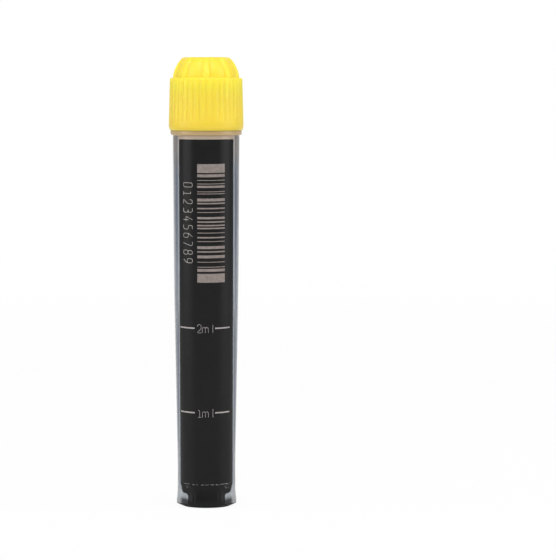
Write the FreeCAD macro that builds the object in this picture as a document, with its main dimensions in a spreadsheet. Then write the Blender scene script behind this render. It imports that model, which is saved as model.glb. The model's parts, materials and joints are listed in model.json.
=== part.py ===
"""A screw-cap cryovial: two-shot tube, cap and seal ring.

Millimetres, +Z up, origin at the centre of the underside.  The vial stands on
its flat base with the graduated panel facing -Y and the clear windows at +X and -X.

    tube      natural moulding: windows, collar, bore and threaded neck
    jacket    dark moulding over the tube: front and back panels and the base plate
    cap       screw cap: knurled skirt, fluted crown, drive recess, inner thread
    cap_seal  ring squeezed between the cap's ceiling and the rim of the neck

Every size below is a cell of the "Sizes" sheet, and the features read the cells.
"""
import FreeCAD, Part
import math
import os

import Sketcher

SIZES = {
    "Outside of the tube": {
        "waist_radius": (5.24, "tube radius from the foot up to the end of the straight stretch"),
        "waist_height": (8.2, "top of the straight stretch above the foot"),
        "belly_radius": (5.87, "tube radius where the steep draft ends"),
        "belly_height": (40.9, "height where the steep draft ends"),
        "shoulder_radius": (6.04, "tube radius under the collar"),
        "collar_underside": (67.4, "height of the collar's lower face"),
        "collar_overhang": (0.43, "how far the collar stands out of the tube"),
        "collar_thickness": (0.8, "height of the collar's band"),
        "collar_chamfer": (0.12, "chamfer on the collar's lower edge"),
    },
    "Foot": {
        "foot_flare": (0.17, "how far the foot stands out of the waist"),
        "foot_band_height": (1.3, "top of the foot's widest band"),
        "foot_height": (3.0, "height where the flare has run out"),
        "base_thickness": (0.75, "dark base plate under the tube"),
        "base_chamfer_width": (1.36, "chamfer under the base, across"),
        "base_chamfer_height": (0.6, "chamfer under the base, upwards"),
    },
    "Bore": {
        "waist_wall": (0.77, "whole wall at the floor of the bore"),
        "shoulder_wall": (1.29, "whole wall that the bore's draft reaches at the mouth"),
        "floor_wall": (0.35, "natural floor above the base plate"),
        "floor_radius": (0.6, "round corner of the floor"),
    },
    "Jacket": {
        "panel_thickness": (0.4, "depth of the dark panels in the wall"),
        "panel_top_margin": (0.7, "clear band between the panel and the collar"),
        "window_depth_top": (1.16, "how far the window planes lie inside the tube, at the top"),
        "window_depth_low": (0.54, "how far the window planes lie inside the tube, at the waist"),
        "panel_low_height": (4.3, "height where the panel starts to narrow"),
        "cheek_radius": (0.55, "round cheeks, a bulge above a hollow, that narrow the panel to its leg"),
        "leg_height": (2.15, "top of the straight leg"),
        "leg_half_width": (3.3, "half of the leg between panel and base"),
        "seam_height": (4.35, "height of the shut-off line in the panels"),
        "seam_width": (0.12, "width of the shut-off line"),
        "seam_depth": (0.06, "depth of the shut-off line"),
    },
    "Neck": {
        "neck_wall": (0.65, "wall between the bore and the thread's root"),
        "neck_length": (7.4, "rim of the neck above the collar"),
        "rim_chamfer": (0.2, "chamfer around the rim"),
        "lead": (2.5, "rise of the thread in one turn"),
        "thread_turns": (1.75, "turns of thread on the neck and in the cap"),
        "thread_depth": (0.4, "root to crest, on the neck and in the cap"),
        "thread_root_width": (1.1, "thread ridge at its root"),
        "thread_crest_width": (0.5, "thread ridge at its crest"),
        "neck_thread_start": (1.75, "middle of the ridge's lower end above the collar"),
        "thread_clearance": (0.12, "radial gap from crest to root"),
        "flank_clearance": (0.08, "axial gap between the touching flanks"),
    },
    "Seal": {
        "seal_thickness": (1.0, "height of the ring"),
        "seal_clearance": (0.03, "gap to the rim, the ceiling and the plug"),
        "seal_wall_clearance": (0.25, "gap to the wall of the cap"),
        "seal_corner": (0.2, "round corners of the ring's section"),
    },
    "Cap": {
        "cap_gap": (0.05, "gap between the cap and the collar"),
        "cap_wall": (0.64, "skirt wall at the shoulder, over the ribs"),
        "skirt_flare": (0.2, "how much wider the skirt is above its lower band"),
        "skirt_band_height": (0.55, "rounded lower edge of the skirt"),
        "skirt_edge_inset": (0.2, "how far the lower edge draws in"),
        "skirt_lead_in": (0.25, "chamfer inside the skirt's mouth"),
        "crown_step": (1.02, "shoulder of the cap above the ceiling"),
        "shoulder_round": (0.25, "round edge of the shoulder"),
        "crown_inset": (0.53, "from the skirt in to the crown's ridges"),
        "crown_height": (3.78, "crown above the shoulder"),
        "crown_top_radius": (4.13, "flat top, over the ridges"),
        "crown_arc_radius": (5.9, "curve of the crown's side"),
        "flute_depth_low": (0.55, "flute floor inside the ridges, at the shoulder"),
        "flute_depth_top": (0.3, "flute floor inside the ridges, at the top"),
        "flute_angle": (33.0, "width of a flute, degrees"),
        "flute_count": (8, "flutes around the crown"),
        "rib_count": (36, "ribs around the skirt"),
        "rib_groove_radius": (0.4, "radius of the hollow between two ribs"),
        "rib_groove_depth": (0.12, "depth of the hollow at the shoulder"),
        "rib_foot": (1.5, "lower end of the ribs above the skirt's edge"),
        "plug_radius": (3.9, "plug that holds the seal ring"),
        "plug_length": (1.6, "plug below the ceiling"),
        "top_wall": (1.4, "wall between the ceiling and the drive recess"),
        "recess_radius": (2.1, "round middle of the drive recess"),
        "recess_lobe_radius": (2.95, "reach of the recess's lobes"),
        "recess_lobe_width": (0.8, "width of a lobe"),
    },
}

# Places and radii worked out from the cells, as expressions for the features.
S = "Sizes."
COLLAR_TOP = f"({S}collar_underside + {S}collar_thickness)"
COLLAR_RADIUS = f"({S}shoulder_radius + {S}collar_overhang)"
RIM = f"({COLLAR_TOP} + {S}neck_length)"
FOOT_RADIUS = f"({S}waist_radius + {S}foot_flare)"
BORE_FLOOR = f"({S}base_thickness + {S}floor_wall)"
BORE_LOW_RADIUS = f"({S}waist_radius - {S}waist_wall)"
BORE_MOUTH_RADIUS = f"({S}shoulder_radius - {S}shoulder_wall)"
NECK_RADIUS = f"({BORE_MOUTH_RADIUS} + {S}neck_wall)"
PANEL_TOP = f"({S}collar_underside - {S}panel_top_margin)"
PANEL_HALF_TOP = f"({S}shoulder_radius - {S}window_depth_top)"
PANEL_HALF_LOW = f"({S}waist_radius - {S}window_depth_low)"
WINDOW_REACH = f"({S}shoulder_radius + {S}panel_thickness)"

CAP_FOOT = f"({COLLAR_TOP} + {S}cap_gap)"
CAVITY_RADIUS = f"({NECK_RADIUS} + {S}thread_depth + {S}thread_clearance)"
CEILING = f"({RIM} + {S}seal_thickness + 2 * {S}seal_clearance)"
SHOULDER = f"({CEILING} + {S}crown_step)"
CROWN_TOP = f"({SHOULDER} + {S}crown_height)"
SKIRT_TOP_RADIUS = f"({CAVITY_RADIUS} + {S}cap_wall)"
SKIRT_RADIUS = f"({SKIRT_TOP_RADIUS} + {S}skirt_flare)"
CROWN_LOW_RADIUS = f"({SKIRT_TOP_RADIUS} - {S}crown_inset)"
FLUTE_LOW_RADIUS = f"({CROWN_LOW_RADIUS} - {S}flute_depth_low)"
FLUTE_TOP_RADIUS = f"({S}crown_top_radius - {S}flute_depth_top)"
RIB_GROOVE_CENTRE = f"({SKIRT_TOP_RADIUS} - {S}rib_groove_depth + {S}rib_groove_radius)"

# Two ridges whose flanks touch lie this far apart along the axis.
THREAD_SLOPE = f"(({S}thread_root_width - {S}thread_crest_width) / (2 * {S}thread_depth))"
THREAD_OFFSET = (
    f"({S}thread_root_width - {THREAD_SLOPE} * ({S}thread_depth + {S}thread_clearance)"
    f" + {S}flank_clearance)"
)
NECK_THREAD = f"({COLLAR_TOP} + {S}neck_thread_start)"
CAP_THREAD = f"({NECK_THREAD} - {THREAD_OFFSET})"
THREAD_SUNK = f"({S}thread_depth / 2)"

# How a sketch numbers the points of an edge, its own axes and its origin.
START, END, CENTRE = 1, 2, 3
ACROSS_AXIS, UP_AXIS = -1, -2
ORIGIN = (-1, 1)
LEFT, RIGHT = "left", "right"
FULL_TURN = 360

doc = FreeCAD.newDocument("Cryovial")


def make_sheet():
    """The spreadsheet of driving sizes: name, value, note, grouped under headings."""
    sheet = doc.addObject("Spreadsheet::Sheet", "Sizes")
    row = 1
    for heading, cells in SIZES.items():
        sheet.set(f"A{row}", heading)
        row += 1
        for alias, (value, note) in cells.items():
            sheet.set(f"A{row}", alias)
            sheet.set(f"B{row}", str(value))
            sheet.set(f"C{row}", note)
            sheet.setAlias(f"B{row}", alias)
            row += 1
    doc.recompute()
    return sheet


sizes = make_sheet()


def evaluate(expression):
    """The number that an expression gives now, used to draw a sketch near its final form."""
    return float(sizes.evalExpression(expression))


def origin_part(body, role):
    """A plane or axis of a body's own origin."""
    return next(item for item in body.Origin.OriginFeatures if item.Role == role)


def new_body(label):
    body = doc.addObject("PartDesign::Body", label)
    body.Label = label
    return body


def new_sketch(body, name, plane="XZ_Plane"):
    sketch = body.newObject("Sketcher::SketchObject", name)
    sketch.AttachmentSupport = (origin_part(body, plane), "")
    sketch.MapMode = "FlatFace"
    return sketch


def pin_point(sketch, edge, end, across, up):
    """Hold one end of an edge at a place given by two expressions."""
    for kind, expression, axis in (("DistanceX", across, UP_AXIS), ("DistanceY", up, ACROSS_AXIS)):
        if expression == "0":
            sketch.addConstraint(Sketcher.Constraint("PointOnObject", edge, end, axis))
        else:
            distance = Sketcher.Constraint(kind, *ORIGIN, edge, end, evaluate(expression))
            index = sketch.addConstraint(distance)
            sketch.setExpression(f"Constraints[{index}]", expression)


def pin_radius(sketch, edge, radius):
    """Hold the radius of an arc or a circle at an expression."""
    index = sketch.addConstraint(Sketcher.Constraint("Radius", edge, evaluate(radius)))
    sketch.setExpression(f"Constraints[{index}]", radius)


def arc_between(start, finish, radius, turns_left):
    """The shorter arc of a radius that runs from start to finish and turns left or right."""
    chord = finish - start
    sagitta = radius - math.sqrt(radius**2 - (chord.Length / 2) ** 2)
    bulge = FreeCAD.Vector(chord.y, -chord.x, 0).normalize() * sagitta
    middle = (start + finish) * 0.5 + (bulge if turns_left else -bulge)
    return Part.Arc(start, middle, finish)


def draw_outline(sketch, corners):
    """A closed outline through corners, each (across, up), joined by lines.

    A corner (across, up, radius, side) is reached by an arc that turns to that side.
    """
    places = [FreeCAD.Vector(evaluate(corner[0]), evaluate(corner[1]), 0) for corner in corners]
    edges, first_ends, last_ends = [], [], []
    for i, corner in enumerate(corners):
        if len(corner) == 2:
            edge = Part.LineSegment(places[i - 1], places[i])
            turns_right = False
        else:
            turns_right = corner[3] == RIGHT
            edge = arc_between(places[i - 1], places[i], evaluate(corner[2]), not turns_right)
        edges.append(sketch.addGeometry(edge))
        # A sketch keeps every arc anticlockwise, so one that turns right runs backwards.
        first_ends.append(END if turns_right else START)
        last_ends.append(START if turns_right else END)
    for i, corner in enumerate(corners):
        after = (i + 1) % len(corners)
        joint = Sketcher.Constraint("Coincident", edges[i], last_ends[i], edges[after], first_ends[after])
        sketch.addConstraint(joint)
        pin_point(sketch, edges[i], last_ends[i], corner[0], corner[1])
        if len(corner) > 2:
            pin_radius(sketch, edges[i], corner[2])


def draw_circle(sketch, across, up, radius):
    """A full circle with its centre at two expressions."""
    centre = FreeCAD.Vector(evaluate(across), evaluate(up), 0)
    circle = sketch.addGeometry(Part.Circle(centre, FreeCAD.Vector(0, 0, 1), evaluate(radius)))
    pin_point(sketch, circle, CENTRE, across, up)
    pin_radius(sketch, circle, radius)


def turn(body, name, corners, kind="PartDesign::Revolution"):
    """Revolve an outline about the vertical axis, to add it or to cut it away."""
    sketch = new_sketch(body, name + "_outline")
    draw_outline(sketch, corners)
    feature = body.newObject(kind, name)
    feature.Profile = sketch
    feature.ReferenceAxis = (sketch, ["V_Axis"])
    doc.recompute()
    return feature


def turn_part_way(body, name, corners, angle, bearing):
    """Cut an outline away over an angle, in degrees, centred on a bearing from +X."""
    groove = turn(body, name, corners, "PartDesign::Groove")
    sketch = groove.Profile[0]
    upright = FreeCAD.Vector(0, 1, 0)
    sketch.AttachmentOffset = FreeCAD.Placement(FreeCAD.Vector(), FreeCAD.Rotation(upright, 1))
    sketch.setExpression("AttachmentOffset.Rotation.Angle", bearing)
    groove.Midplane = True
    groove.setExpression("Angle", angle)
    doc.recompute()
    return groove


def repeat_around(body, name, feature, count):
    """A full ring of copies of one feature about the vertical axis."""
    ring = body.newObject("PartDesign::PolarPattern", name)
    ring.Originals = [feature]
    ring.Axis = (origin_part(body, "Z_Axis"), [""])
    ring.Angle = FULL_TURN
    ring.setExpression("Occurrences", count)
    body.Tip = ring
    doc.recompute()
    return ring


def pocket_up(body, name, sketch, height):
    """Cut a sketch of the horizontal plane upwards, from a height to beyond the top."""
    sketch.setExpression("AttachmentOffset.Base.z", height)
    feature = body.newObject("PartDesign::Pocket", name)
    feature.Profile = sketch
    feature.Type = "ThroughAll"
    feature.Reversed = True
    doc.recompute()
    return feature


def thread(body, name, root_radius, middle, side):
    """One helical ridge: side is +1 for a ridge that faces outwards and -1 for inwards."""
    sign = "+" if side > 0 else "-"
    back = "-" if side > 0 else "+"
    # The ridge starts inside the wall, where its flanks run on at their own slope.
    sunk_half = f"({S}thread_root_width / 2 + {THREAD_SLOPE} * {THREAD_SUNK})"
    crest_half = f"({S}thread_crest_width / 2)"
    inner = f"({root_radius} {back} {THREAD_SUNK})"
    crest = f"({root_radius} {sign} {S}thread_depth)"
    sketch = new_sketch(body, name + "_section")
    draw_outline(sketch, [
        (inner, f"{middle} - {sunk_half}"),
        (crest, f"{middle} - {crest_half}"),
        (crest, f"{middle} + {crest_half}"),
        (inner, f"{middle} + {sunk_half}"),
    ])
    ridge = body.newObject("PartDesign::AdditiveHelix", name)
    ridge.Profile = sketch
    ridge.ReferenceAxis = (sketch, ["V_Axis"])
    ridge.Mode = "pitch-turns-angle"
    ridge.setExpression("Pitch", f"{S}lead")
    ridge.setExpression("Turns", f"{S}thread_turns")
    doc.recompute()
    return ridge


def tube_side(inset="0"):
    """The tube's outside from the foot's band to the shoulder, moved in by an inset."""
    return [
        (f"{FOOT_RADIUS} - {inset}", f"{S}foot_band_height"),
        (f"{S}waist_radius - {inset}", f"{S}foot_height"),
        (f"{S}waist_radius - {inset}", f"{S}waist_height"),
        (f"{S}belly_radius - {inset}", f"{S}belly_height"),
    ]


def panel_edge_radius(inset="0"):
    """Radius of the tube's outside at the panel's top edge, moved in by an inset."""
    share = f"(({PANEL_TOP} - {S}belly_height) / ({S}collar_underside - {S}belly_height))"
    return f"{S}belly_radius + ({S}shoulder_radius - {S}belly_radius) * {share} - {inset}"


def make_jacket():
    """Dark moulding: the base plate and the two panels that the window cuts leave."""
    body = new_body("jacket")
    inset = f"{S}panel_thickness"
    turn(body, "shell", [
        ("0", "0"),
        (f"{FOOT_RADIUS} - {S}base_chamfer_width", "0"),
        (FOOT_RADIUS, f"{S}base_chamfer_height"),
        *tube_side(),
        (panel_edge_radius(), PANEL_TOP),
        (panel_edge_radius(inset), PANEL_TOP),
        *reversed(tube_side(inset)),
        (f"{FOOT_RADIUS} - {inset}", f"{S}base_thickness"),
        ("0", f"{S}base_thickness"),
    ])
    sketch = new_sketch(body, "window_outline")
    cheek = f"{S}cheek_radius"
    draw_outline(sketch, [
        (PANEL_HALF_TOP, PANEL_TOP),
        (PANEL_HALF_LOW, f"{S}panel_low_height"),
        (f"{S}leg_half_width + 2 * {cheek}", f"{S}leg_height + 2 * {cheek}"),
        (f"{S}leg_half_width + {cheek}", f"{S}leg_height + {cheek}", cheek, RIGHT),
        (f"{S}leg_half_width", f"{S}leg_height", cheek, LEFT),
        (f"{S}leg_half_width", f"{S}base_thickness"),
        (WINDOW_REACH, f"{S}base_thickness"),
        (WINDOW_REACH, PANEL_TOP),
    ])
    window = body.newObject("PartDesign::Pocket", "window")
    window.Profile = sketch
    window.Type = "ThroughAll"
    window.SideType = "Symmetric"
    doc.recompute()
    windows = body.newObject("PartDesign::Mirrored", "windows")
    windows.Originals = [window]
    windows.MirrorPlane = (origin_part(body, "YZ_Plane"), [""])
    body.Tip = windows
    doc.recompute()
    low, high = (f"{S}seam_height {sign} {S}seam_width / 2" for sign in "-+")
    turn(body, "seam", [
        (f"{S}waist_radius - {S}seam_depth", low),
        (WINDOW_REACH, low),
        (WINDOW_REACH, high),
        (f"{S}waist_radius - {S}seam_depth", high),
    ], "PartDesign::Groove")
    return body


def make_tube(jacket):
    """Natural moulding: a threaded bottle whose wall leaves room for the jacket."""
    blank = new_body("tube_blank")
    turn(blank, "bottle", [
        ("0", f"{S}base_thickness"),
        (FOOT_RADIUS, f"{S}base_thickness"),
        *tube_side(),
        (f"{S}shoulder_radius", f"{S}collar_underside"),
        (f"{COLLAR_RADIUS} - {S}collar_chamfer", f"{S}collar_underside"),
        (COLLAR_RADIUS, f"{S}collar_underside + {S}collar_chamfer"),
        (COLLAR_RADIUS, COLLAR_TOP),
        (NECK_RADIUS, COLLAR_TOP),
        (NECK_RADIUS, f"{RIM} - {S}rim_chamfer"),
        (f"{NECK_RADIUS} - {S}rim_chamfer", RIM),
        (BORE_MOUTH_RADIUS, RIM),
        (BORE_LOW_RADIUS, f"{BORE_FLOOR} + {S}floor_radius"),
        (f"{BORE_LOW_RADIUS} - {S}floor_radius", BORE_FLOOR, f"{S}floor_radius", RIGHT),
        ("0", BORE_FLOOR),
    ])
    thread(blank, "neck_thread", NECK_RADIUS, NECK_THREAD, 1)
    tube = doc.addObject("Part::Cut", "tube")
    tube.Base = blank
    tube.Tool = jacket
    tube.Label = "tube"
    doc.recompute()
    return tube


def make_cap():
    """Screw cap: turned blank, then the inner thread, the ribs, the flutes and the recess."""
    body = new_body("cap")
    turn(body, "blank", [
        ("0", f"{CEILING} - {S}plug_length"),
        (f"{S}plug_radius", f"{CEILING} - {S}plug_length"),
        (f"{S}plug_radius", CEILING),
        (CAVITY_RADIUS, CEILING),
        (CAVITY_RADIUS, f"{CAP_FOOT} + {S}skirt_lead_in"),
        (f"{CAVITY_RADIUS} + {S}skirt_lead_in", CAP_FOOT),
        (f"{SKIRT_RADIUS} - {S}skirt_edge_inset", CAP_FOOT),
        (SKIRT_RADIUS, f"{CAP_FOOT} + {S}skirt_band_height"),
        (SKIRT_RADIUS, f"{CAP_FOOT} + {S}rib_foot"),
        (SKIRT_TOP_RADIUS, f"{SHOULDER} - {S}shoulder_round"),
        (f"{SKIRT_TOP_RADIUS} - {S}shoulder_round", SHOULDER, f"{S}shoulder_round", LEFT),
        (CROWN_LOW_RADIUS, SHOULDER),
        (f"{S}crown_top_radius", CROWN_TOP, f"{S}crown_arc_radius", LEFT),
        ("0", CROWN_TOP),
    ])
    thread(body, "cap_thread", CAVITY_RADIUS, CAP_THREAD, -1)

    groove_outline = new_sketch(body, "rib_groove_outline", "XY_Plane")
    draw_circle(groove_outline, RIB_GROOVE_CENTRE, "0", f"{S}rib_groove_radius")
    groove = pocket_up(body, "rib_groove", groove_outline, f"{CAP_FOOT} + {S}rib_foot")
    repeat_around(body, "ribs", groove, f"{S}rib_count")

    flute = turn_part_way(body, "flute", [
        (SKIRT_RADIUS, SHOULDER),
        (SKIRT_RADIUS, CROWN_TOP),
        (FLUTE_TOP_RADIUS, CROWN_TOP),
        (FLUTE_LOW_RADIUS, SHOULDER, f"{S}crown_arc_radius", RIGHT),
    ], angle=f"{S}flute_angle", bearing=f"180 / {S}flute_count")
    repeat_around(body, "flutes", flute, f"{S}flute_count")

    recess_outline = new_sketch(body, "recess_outline", "XY_Plane")
    draw_circle(recess_outline, "0", "0", f"{S}recess_radius")
    pocket_up(body, "recess", recess_outline, f"{CEILING} + {S}top_wall")

    lobe_outline = new_sketch(body, "recess_lobe_outline", "XY_Plane")
    half = f"{S}recess_lobe_width / 2"
    draw_outline(lobe_outline, [
        ("0", f"-{half}"),
        (f"{S}recess_lobe_radius", f"-{half}"),
        (f"{S}recess_lobe_radius", half),
        ("0", half),
    ])
    lobe = pocket_up(body, "recess_lobe", lobe_outline, f"{CEILING} + {S}top_wall")
    repeat_around(body, "recess_lobes", lobe, f"{S}flute_count")
    return body


def make_cap_seal():
    """Seal ring around the cap's plug, with round corners."""
    body = new_body("cap_seal")
    low = f"{RIM} + {S}seal_clearance"
    high = f"{low} + {S}seal_thickness"
    inner = f"{S}plug_radius + {S}seal_clearance"
    outer = f"{CAVITY_RADIUS} - {S}seal_wall_clearance"
    corner = f"{S}seal_corner"
    turn(body, "ring", [
        (f"{inner} + {corner}", low, corner, LEFT),
        (f"{outer} - {corner}", low),
        (outer, f"{low} + {corner}", corner, LEFT),
        (outer, f"{high} - {corner}"),
        (f"{outer} - {corner}", high, corner, LEFT),
        (f"{inner} + {corner}", high),
        (inner, f"{high} - {corner}", corner, LEFT),
        (inner, f"{low} + {corner}"),
    ])
    return body


def check(part):
    """Stop if a shape is missing or broken."""
    shape = part.Shape
    if shape.isNull() or not shape.isValid() or len(shape.Solids) != 1:
        raise RuntimeError(f"{part.Label} has no single sound solid")


def main():
    jacket = make_jacket()
    pieces = [make_tube(jacket), jacket, make_cap(), make_cap_seal()]
    doc.recompute()
    for item in doc.Objects:
        if "Invalid" in item.State or "Error" in item.State:
            raise RuntimeError(f"{item.Label} could not be computed")
    for piece in pieces:
        check(piece)
    os.makedirs("parts", exist_ok=True)
    for piece in pieces:
        piece.Shape.exportStep(f"parts/{piece.Label}.step")
        print(f"{piece.Label}: {piece.Shape.Volume:.2f} mm3, {len(piece.Shape.Faces)} faces")


main()
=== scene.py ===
"""Studio scene of a self-standing storage vial with a ribbed and fluted screw cap.

Four dressed meshes stand for the four solids of the frame and keep to their boxes: the clear tube,
the dark jacket with its two panels, the screw cap and the seal ring. Sizes are millimetres in the
classes and metres in the meshes. +Z runs up the vial, and -Y out of the front panel.
"""

from __future__ import annotations

import json
import logging
import math
import sys
from collections.abc import Callable, Iterable, Sequence
from dataclasses import dataclass, replace
from enum import Enum
from functools import cached_property

import bmesh
import bpy
import numpy as np
from mathutils import Matrix, Vector

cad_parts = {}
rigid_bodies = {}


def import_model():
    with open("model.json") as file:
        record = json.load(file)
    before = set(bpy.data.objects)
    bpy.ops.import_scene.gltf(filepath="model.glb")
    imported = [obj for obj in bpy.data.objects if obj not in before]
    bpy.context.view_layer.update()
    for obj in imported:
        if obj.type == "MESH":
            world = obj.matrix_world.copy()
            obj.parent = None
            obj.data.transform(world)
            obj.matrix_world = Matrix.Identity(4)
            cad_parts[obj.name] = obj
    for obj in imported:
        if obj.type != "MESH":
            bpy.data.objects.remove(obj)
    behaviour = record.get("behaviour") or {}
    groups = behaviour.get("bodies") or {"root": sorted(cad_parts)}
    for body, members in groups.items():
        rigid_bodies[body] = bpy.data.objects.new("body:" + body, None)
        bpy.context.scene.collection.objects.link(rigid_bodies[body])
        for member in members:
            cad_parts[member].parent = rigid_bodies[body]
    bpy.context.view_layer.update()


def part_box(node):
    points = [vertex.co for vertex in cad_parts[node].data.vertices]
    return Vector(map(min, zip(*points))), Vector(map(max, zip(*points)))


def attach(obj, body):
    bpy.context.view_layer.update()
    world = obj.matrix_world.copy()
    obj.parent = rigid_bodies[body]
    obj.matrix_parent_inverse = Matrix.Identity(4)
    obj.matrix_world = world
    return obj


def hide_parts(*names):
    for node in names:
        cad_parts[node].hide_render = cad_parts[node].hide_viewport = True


log = logging.getLogger("vial")

MM = 0.001
SHARP_ANGLE = math.radians(38)
FULL_TURN = 2 * math.pi
# How near two points of a turned mesh or of a mark lie to become one, in metres.
MERGE_DISTANCE = 1e-7
MARK_MERGE_DISTANCE = 1e-6
# How much of a run the fillet at its end may take up.
FILLET_SHARE = 0.45
# Bearing and sign of the two sides that a form is repeated on.
SIDES = ((0.0, 1.0), (math.pi, -1.0))
# How the nodes of a tree are set out in its editor: down a column, then across.
NODE_ROWS = 6
NODE_STEP = (200, -180)

Tree = bpy.types.NodeTree
Thing = bpy.types.Object
Paint = bpy.types.Material
Pair = tuple[float, float]
Spot = tuple[float, float, float]
Colour = tuple[float, float, float, float]
WHITE: Colour = (1.0, 1.0, 1.0, 1.0)


class Zone(Enum):
    """Which relief a stretch of turned surface gets."""

    PLAIN = 0
    RIBS = 1
    FLUTES = 2
    THREAD = 3


class Hand(Enum):
    """Which way a thread's ridge faces."""

    OUTWARD = 1
    INWARD = -1


# ---- Profiles and shells ----


@dataclass(frozen=True)
class Row:
    """One ring of a turned surface, in millimetres."""

    r: float
    z: float
    zone: Zone = Zone.PLAIN


@dataclass(frozen=True)
class Turn:
    """One corner of a turned profile, in millimetres.

    Its zone and its longest step hold for the run that leaves it.
    """

    r: float
    z: float
    fillet: float = 0.0
    zone: Zone = Zone.PLAIN
    longest: float = 6.0

    @property
    def spot(self) -> np.ndarray:
        """The corner as a point."""
        return np.array((self.r, self.z))

    def along(self, run: np.ndarray) -> np.ndarray:
        """Gives the stretch of a run from or to this corner that its fillet takes up."""
        length = float(np.linalg.norm(run))
        return run / length * min(self.fillet, FILLET_SHARE * length)


def bend(start: np.ndarray, corner: np.ndarray, end: np.ndarray, t: float) -> np.ndarray:
    """Gives a point on the curve that rounds a corner.

    Args:
        start: Where the curve starts.
        corner: The corner that it rounds.
        end: Where it ends.
        t: How far along the point lies, from 0 to 1.

    Returns:
        The point.
    """
    return (1 - t) ** 2 * start + 2 * t * (1 - t) * corner + t**2 * end


def soften(corners: Sequence[Turn], steps: int = 4) -> list[Row]:
    """Rounds a profile's corners and divides its long runs.

    Args:
        corners: The profile's corners in order.
        steps: How many chords a rounded corner has.

    Returns:
        The rings of the turned surface, in order.
    """
    rows: list[Row] = []
    final = len(corners) - 1
    for index, corner in enumerate(corners):
        if corner.fillet and 0 < index < final:
            before = corners[index - 1]
            here, ahead = corner.spot, corners[index + 1].spot
            start, end = (here + corner.along(run) for run in (before.spot - here, ahead - here))
            for step in range(steps + 1):
                t = step / steps
                zone = corner.zone if t > 0.5 else before.zone
                rows.append(Row(*bend(start, here, end, t), zone))
        else:
            rows.append(Row(corner.r, corner.z, corner.zone))
        if index < final:
            rows.extend(divide(rows[-1], corner, corners[index + 1]))
    return rows


def divide(last: Row, corner: Turn, following: Turn) -> list[Row]:
    """Divides the run from the last ring to the next corner.

    Args:
        last: The ring that the run starts from.
        corner: The corner that the run leaves.
        following: The corner that the run comes to.

    Returns:
        The rings inside the run.
    """
    start, end = np.array((last.r, last.z)), following.spot
    if following.fillet and (end != start).any():
        end = end - following.along(end - start)
    parts = max(1, math.ceil(float(np.linalg.norm(end - start)) / corner.longest))
    return [Row(*(start + (end - start) * k / parts), corner.zone) for k in range(1, parts)]


class Shell:
    """A closed mesh that is laid down ring by ring, from the middle of its underside."""

    def __init__(self) -> None:
        """Starts with no points and no faces."""
        self.points: list[Spot] = []
        self.faces: list[tuple[int, ...]] = []
        self.zones: list[int] = []

    def ring(self, across: np.ndarray, z: float, zone: Zone = Zone.PLAIN) -> list[int]:
        """Lays down one ring of points at one height.

        Args:
            across: The points' X and Y in millimetres, anticlockwise from above.
            z: The height in millimetres.
            zone: The relief that the ring gets.

        Returns:
            The new points' numbers.
        """
        first = len(self.points)
        self.points.extend((x * MM, y * MM, z * MM) for x, y in across)
        self.zones.extend([zone.value] * len(across))
        return list(range(first, len(self.points)))

    def stack(self, rings: Sequence[list[int]]) -> None:
        """Joins rings of as many points, one after the other, with four-sided faces."""
        for low, high in zip(rings, rings[1:]):
            self.faces.extend(zip(low, low[1:] + low[:1], high[1:] + high[:1], high))

    def pole(self, ring: list[int], z: float, faces_up: bool) -> None:
        """Closes a ring towards a point on the axis.

        Args:
            ring: The ring's points.
            z: The height of the point on the axis, in millimetres.
            faces_up: Whether the faces look up.
        """
        centre = self.ring(np.zeros((1, 2)), z)[0]
        for a, b in zip(ring, ring[1:] + ring[:1]):
            self.faces.append((a, b, centre) if faces_up else (b, a, centre))

    def lid(self, ring: list[int], faces_up: bool) -> None:
        """Closes a ring with one flat face."""
        self.faces.append(tuple(ring) if faces_up else tuple(reversed(ring)))

    def build(self, name: str) -> Thing:
        """Makes the object, with its doubled points merged and its zones kept on the points.

        Args:
            name: The object's name.

        Returns:
            The new object, linked to the scene.
        """
        mesh = bpy.data.meshes.new(name)
        mesh.from_pydata(self.points, [], self.faces)
        mesh.attributes.new("zone", "INT", "POINT").data.foreach_set("value", self.zones)
        work = bmesh.new()
        work.from_mesh(mesh)
        bmesh.ops.remove_doubles(work, verts=work.verts, dist=MERGE_DISTANCE)
        bmesh.ops.dissolve_degenerate(work, edges=work.edges, dist=MERGE_DISTANCE)
        work.to_mesh(mesh)
        work.free()
        shade(mesh)
        return link(name, mesh)


def link(name: str, content: bpy.types.ID) -> Thing:
    """Makes an object from a mesh, a lamp or a camera and puts it in the scene.

    Args:
        name: The object's name.
        content: What it shows.

    Returns:
        The new object.
    """
    thing = bpy.data.objects.new(name, content)
    bpy.context.scene.collection.objects.link(thing)
    return thing


def shade(mesh: bpy.types.Mesh) -> None:
    """Shades a mesh smooth between its sharp edges."""
    mesh.shade_smooth()
    mesh.set_sharp_from_angle(angle=SHARP_ANGLE)


def on_circle(radius: float, angles: np.ndarray) -> np.ndarray:
    """Gives the points at some bearings on a circle round the axis."""
    return np.stack((radius * np.cos(angles), radius * np.sin(angles)), axis=1)


def circle(radius: float, columns: int) -> np.ndarray:
    """Gives evenly spaced points on a circle, anticlockwise from +X."""
    return on_circle(radius, np.arange(columns) * (FULL_TURN / columns))


def arc(radius: float, start: float, end: float, chords: int) -> np.ndarray:
    """Gives points along an arc round the axis, both ends with it."""
    return on_circle(radius, np.linspace(start, end, chords + 1))


def bake(thing: Thing) -> Thing:
    """Turns an object's modifiers into its plain mesh.

    Args:
        thing: An object with live modifiers.

    Returns:
        The same object with the result as its mesh and no modifier.
    """
    bpy.context.view_layer.update()
    graph = bpy.context.evaluated_depsgraph_get()
    result = bpy.data.meshes.new_from_object(
        thing.evaluated_get(graph), preserve_all_data_layers=True, depsgraph=graph
    )
    thing.modifiers.clear()
    old, thing.data = thing.data, result
    result.name = thing.name
    bpy.data.meshes.remove(old)
    shade(result)
    return thing


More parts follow.
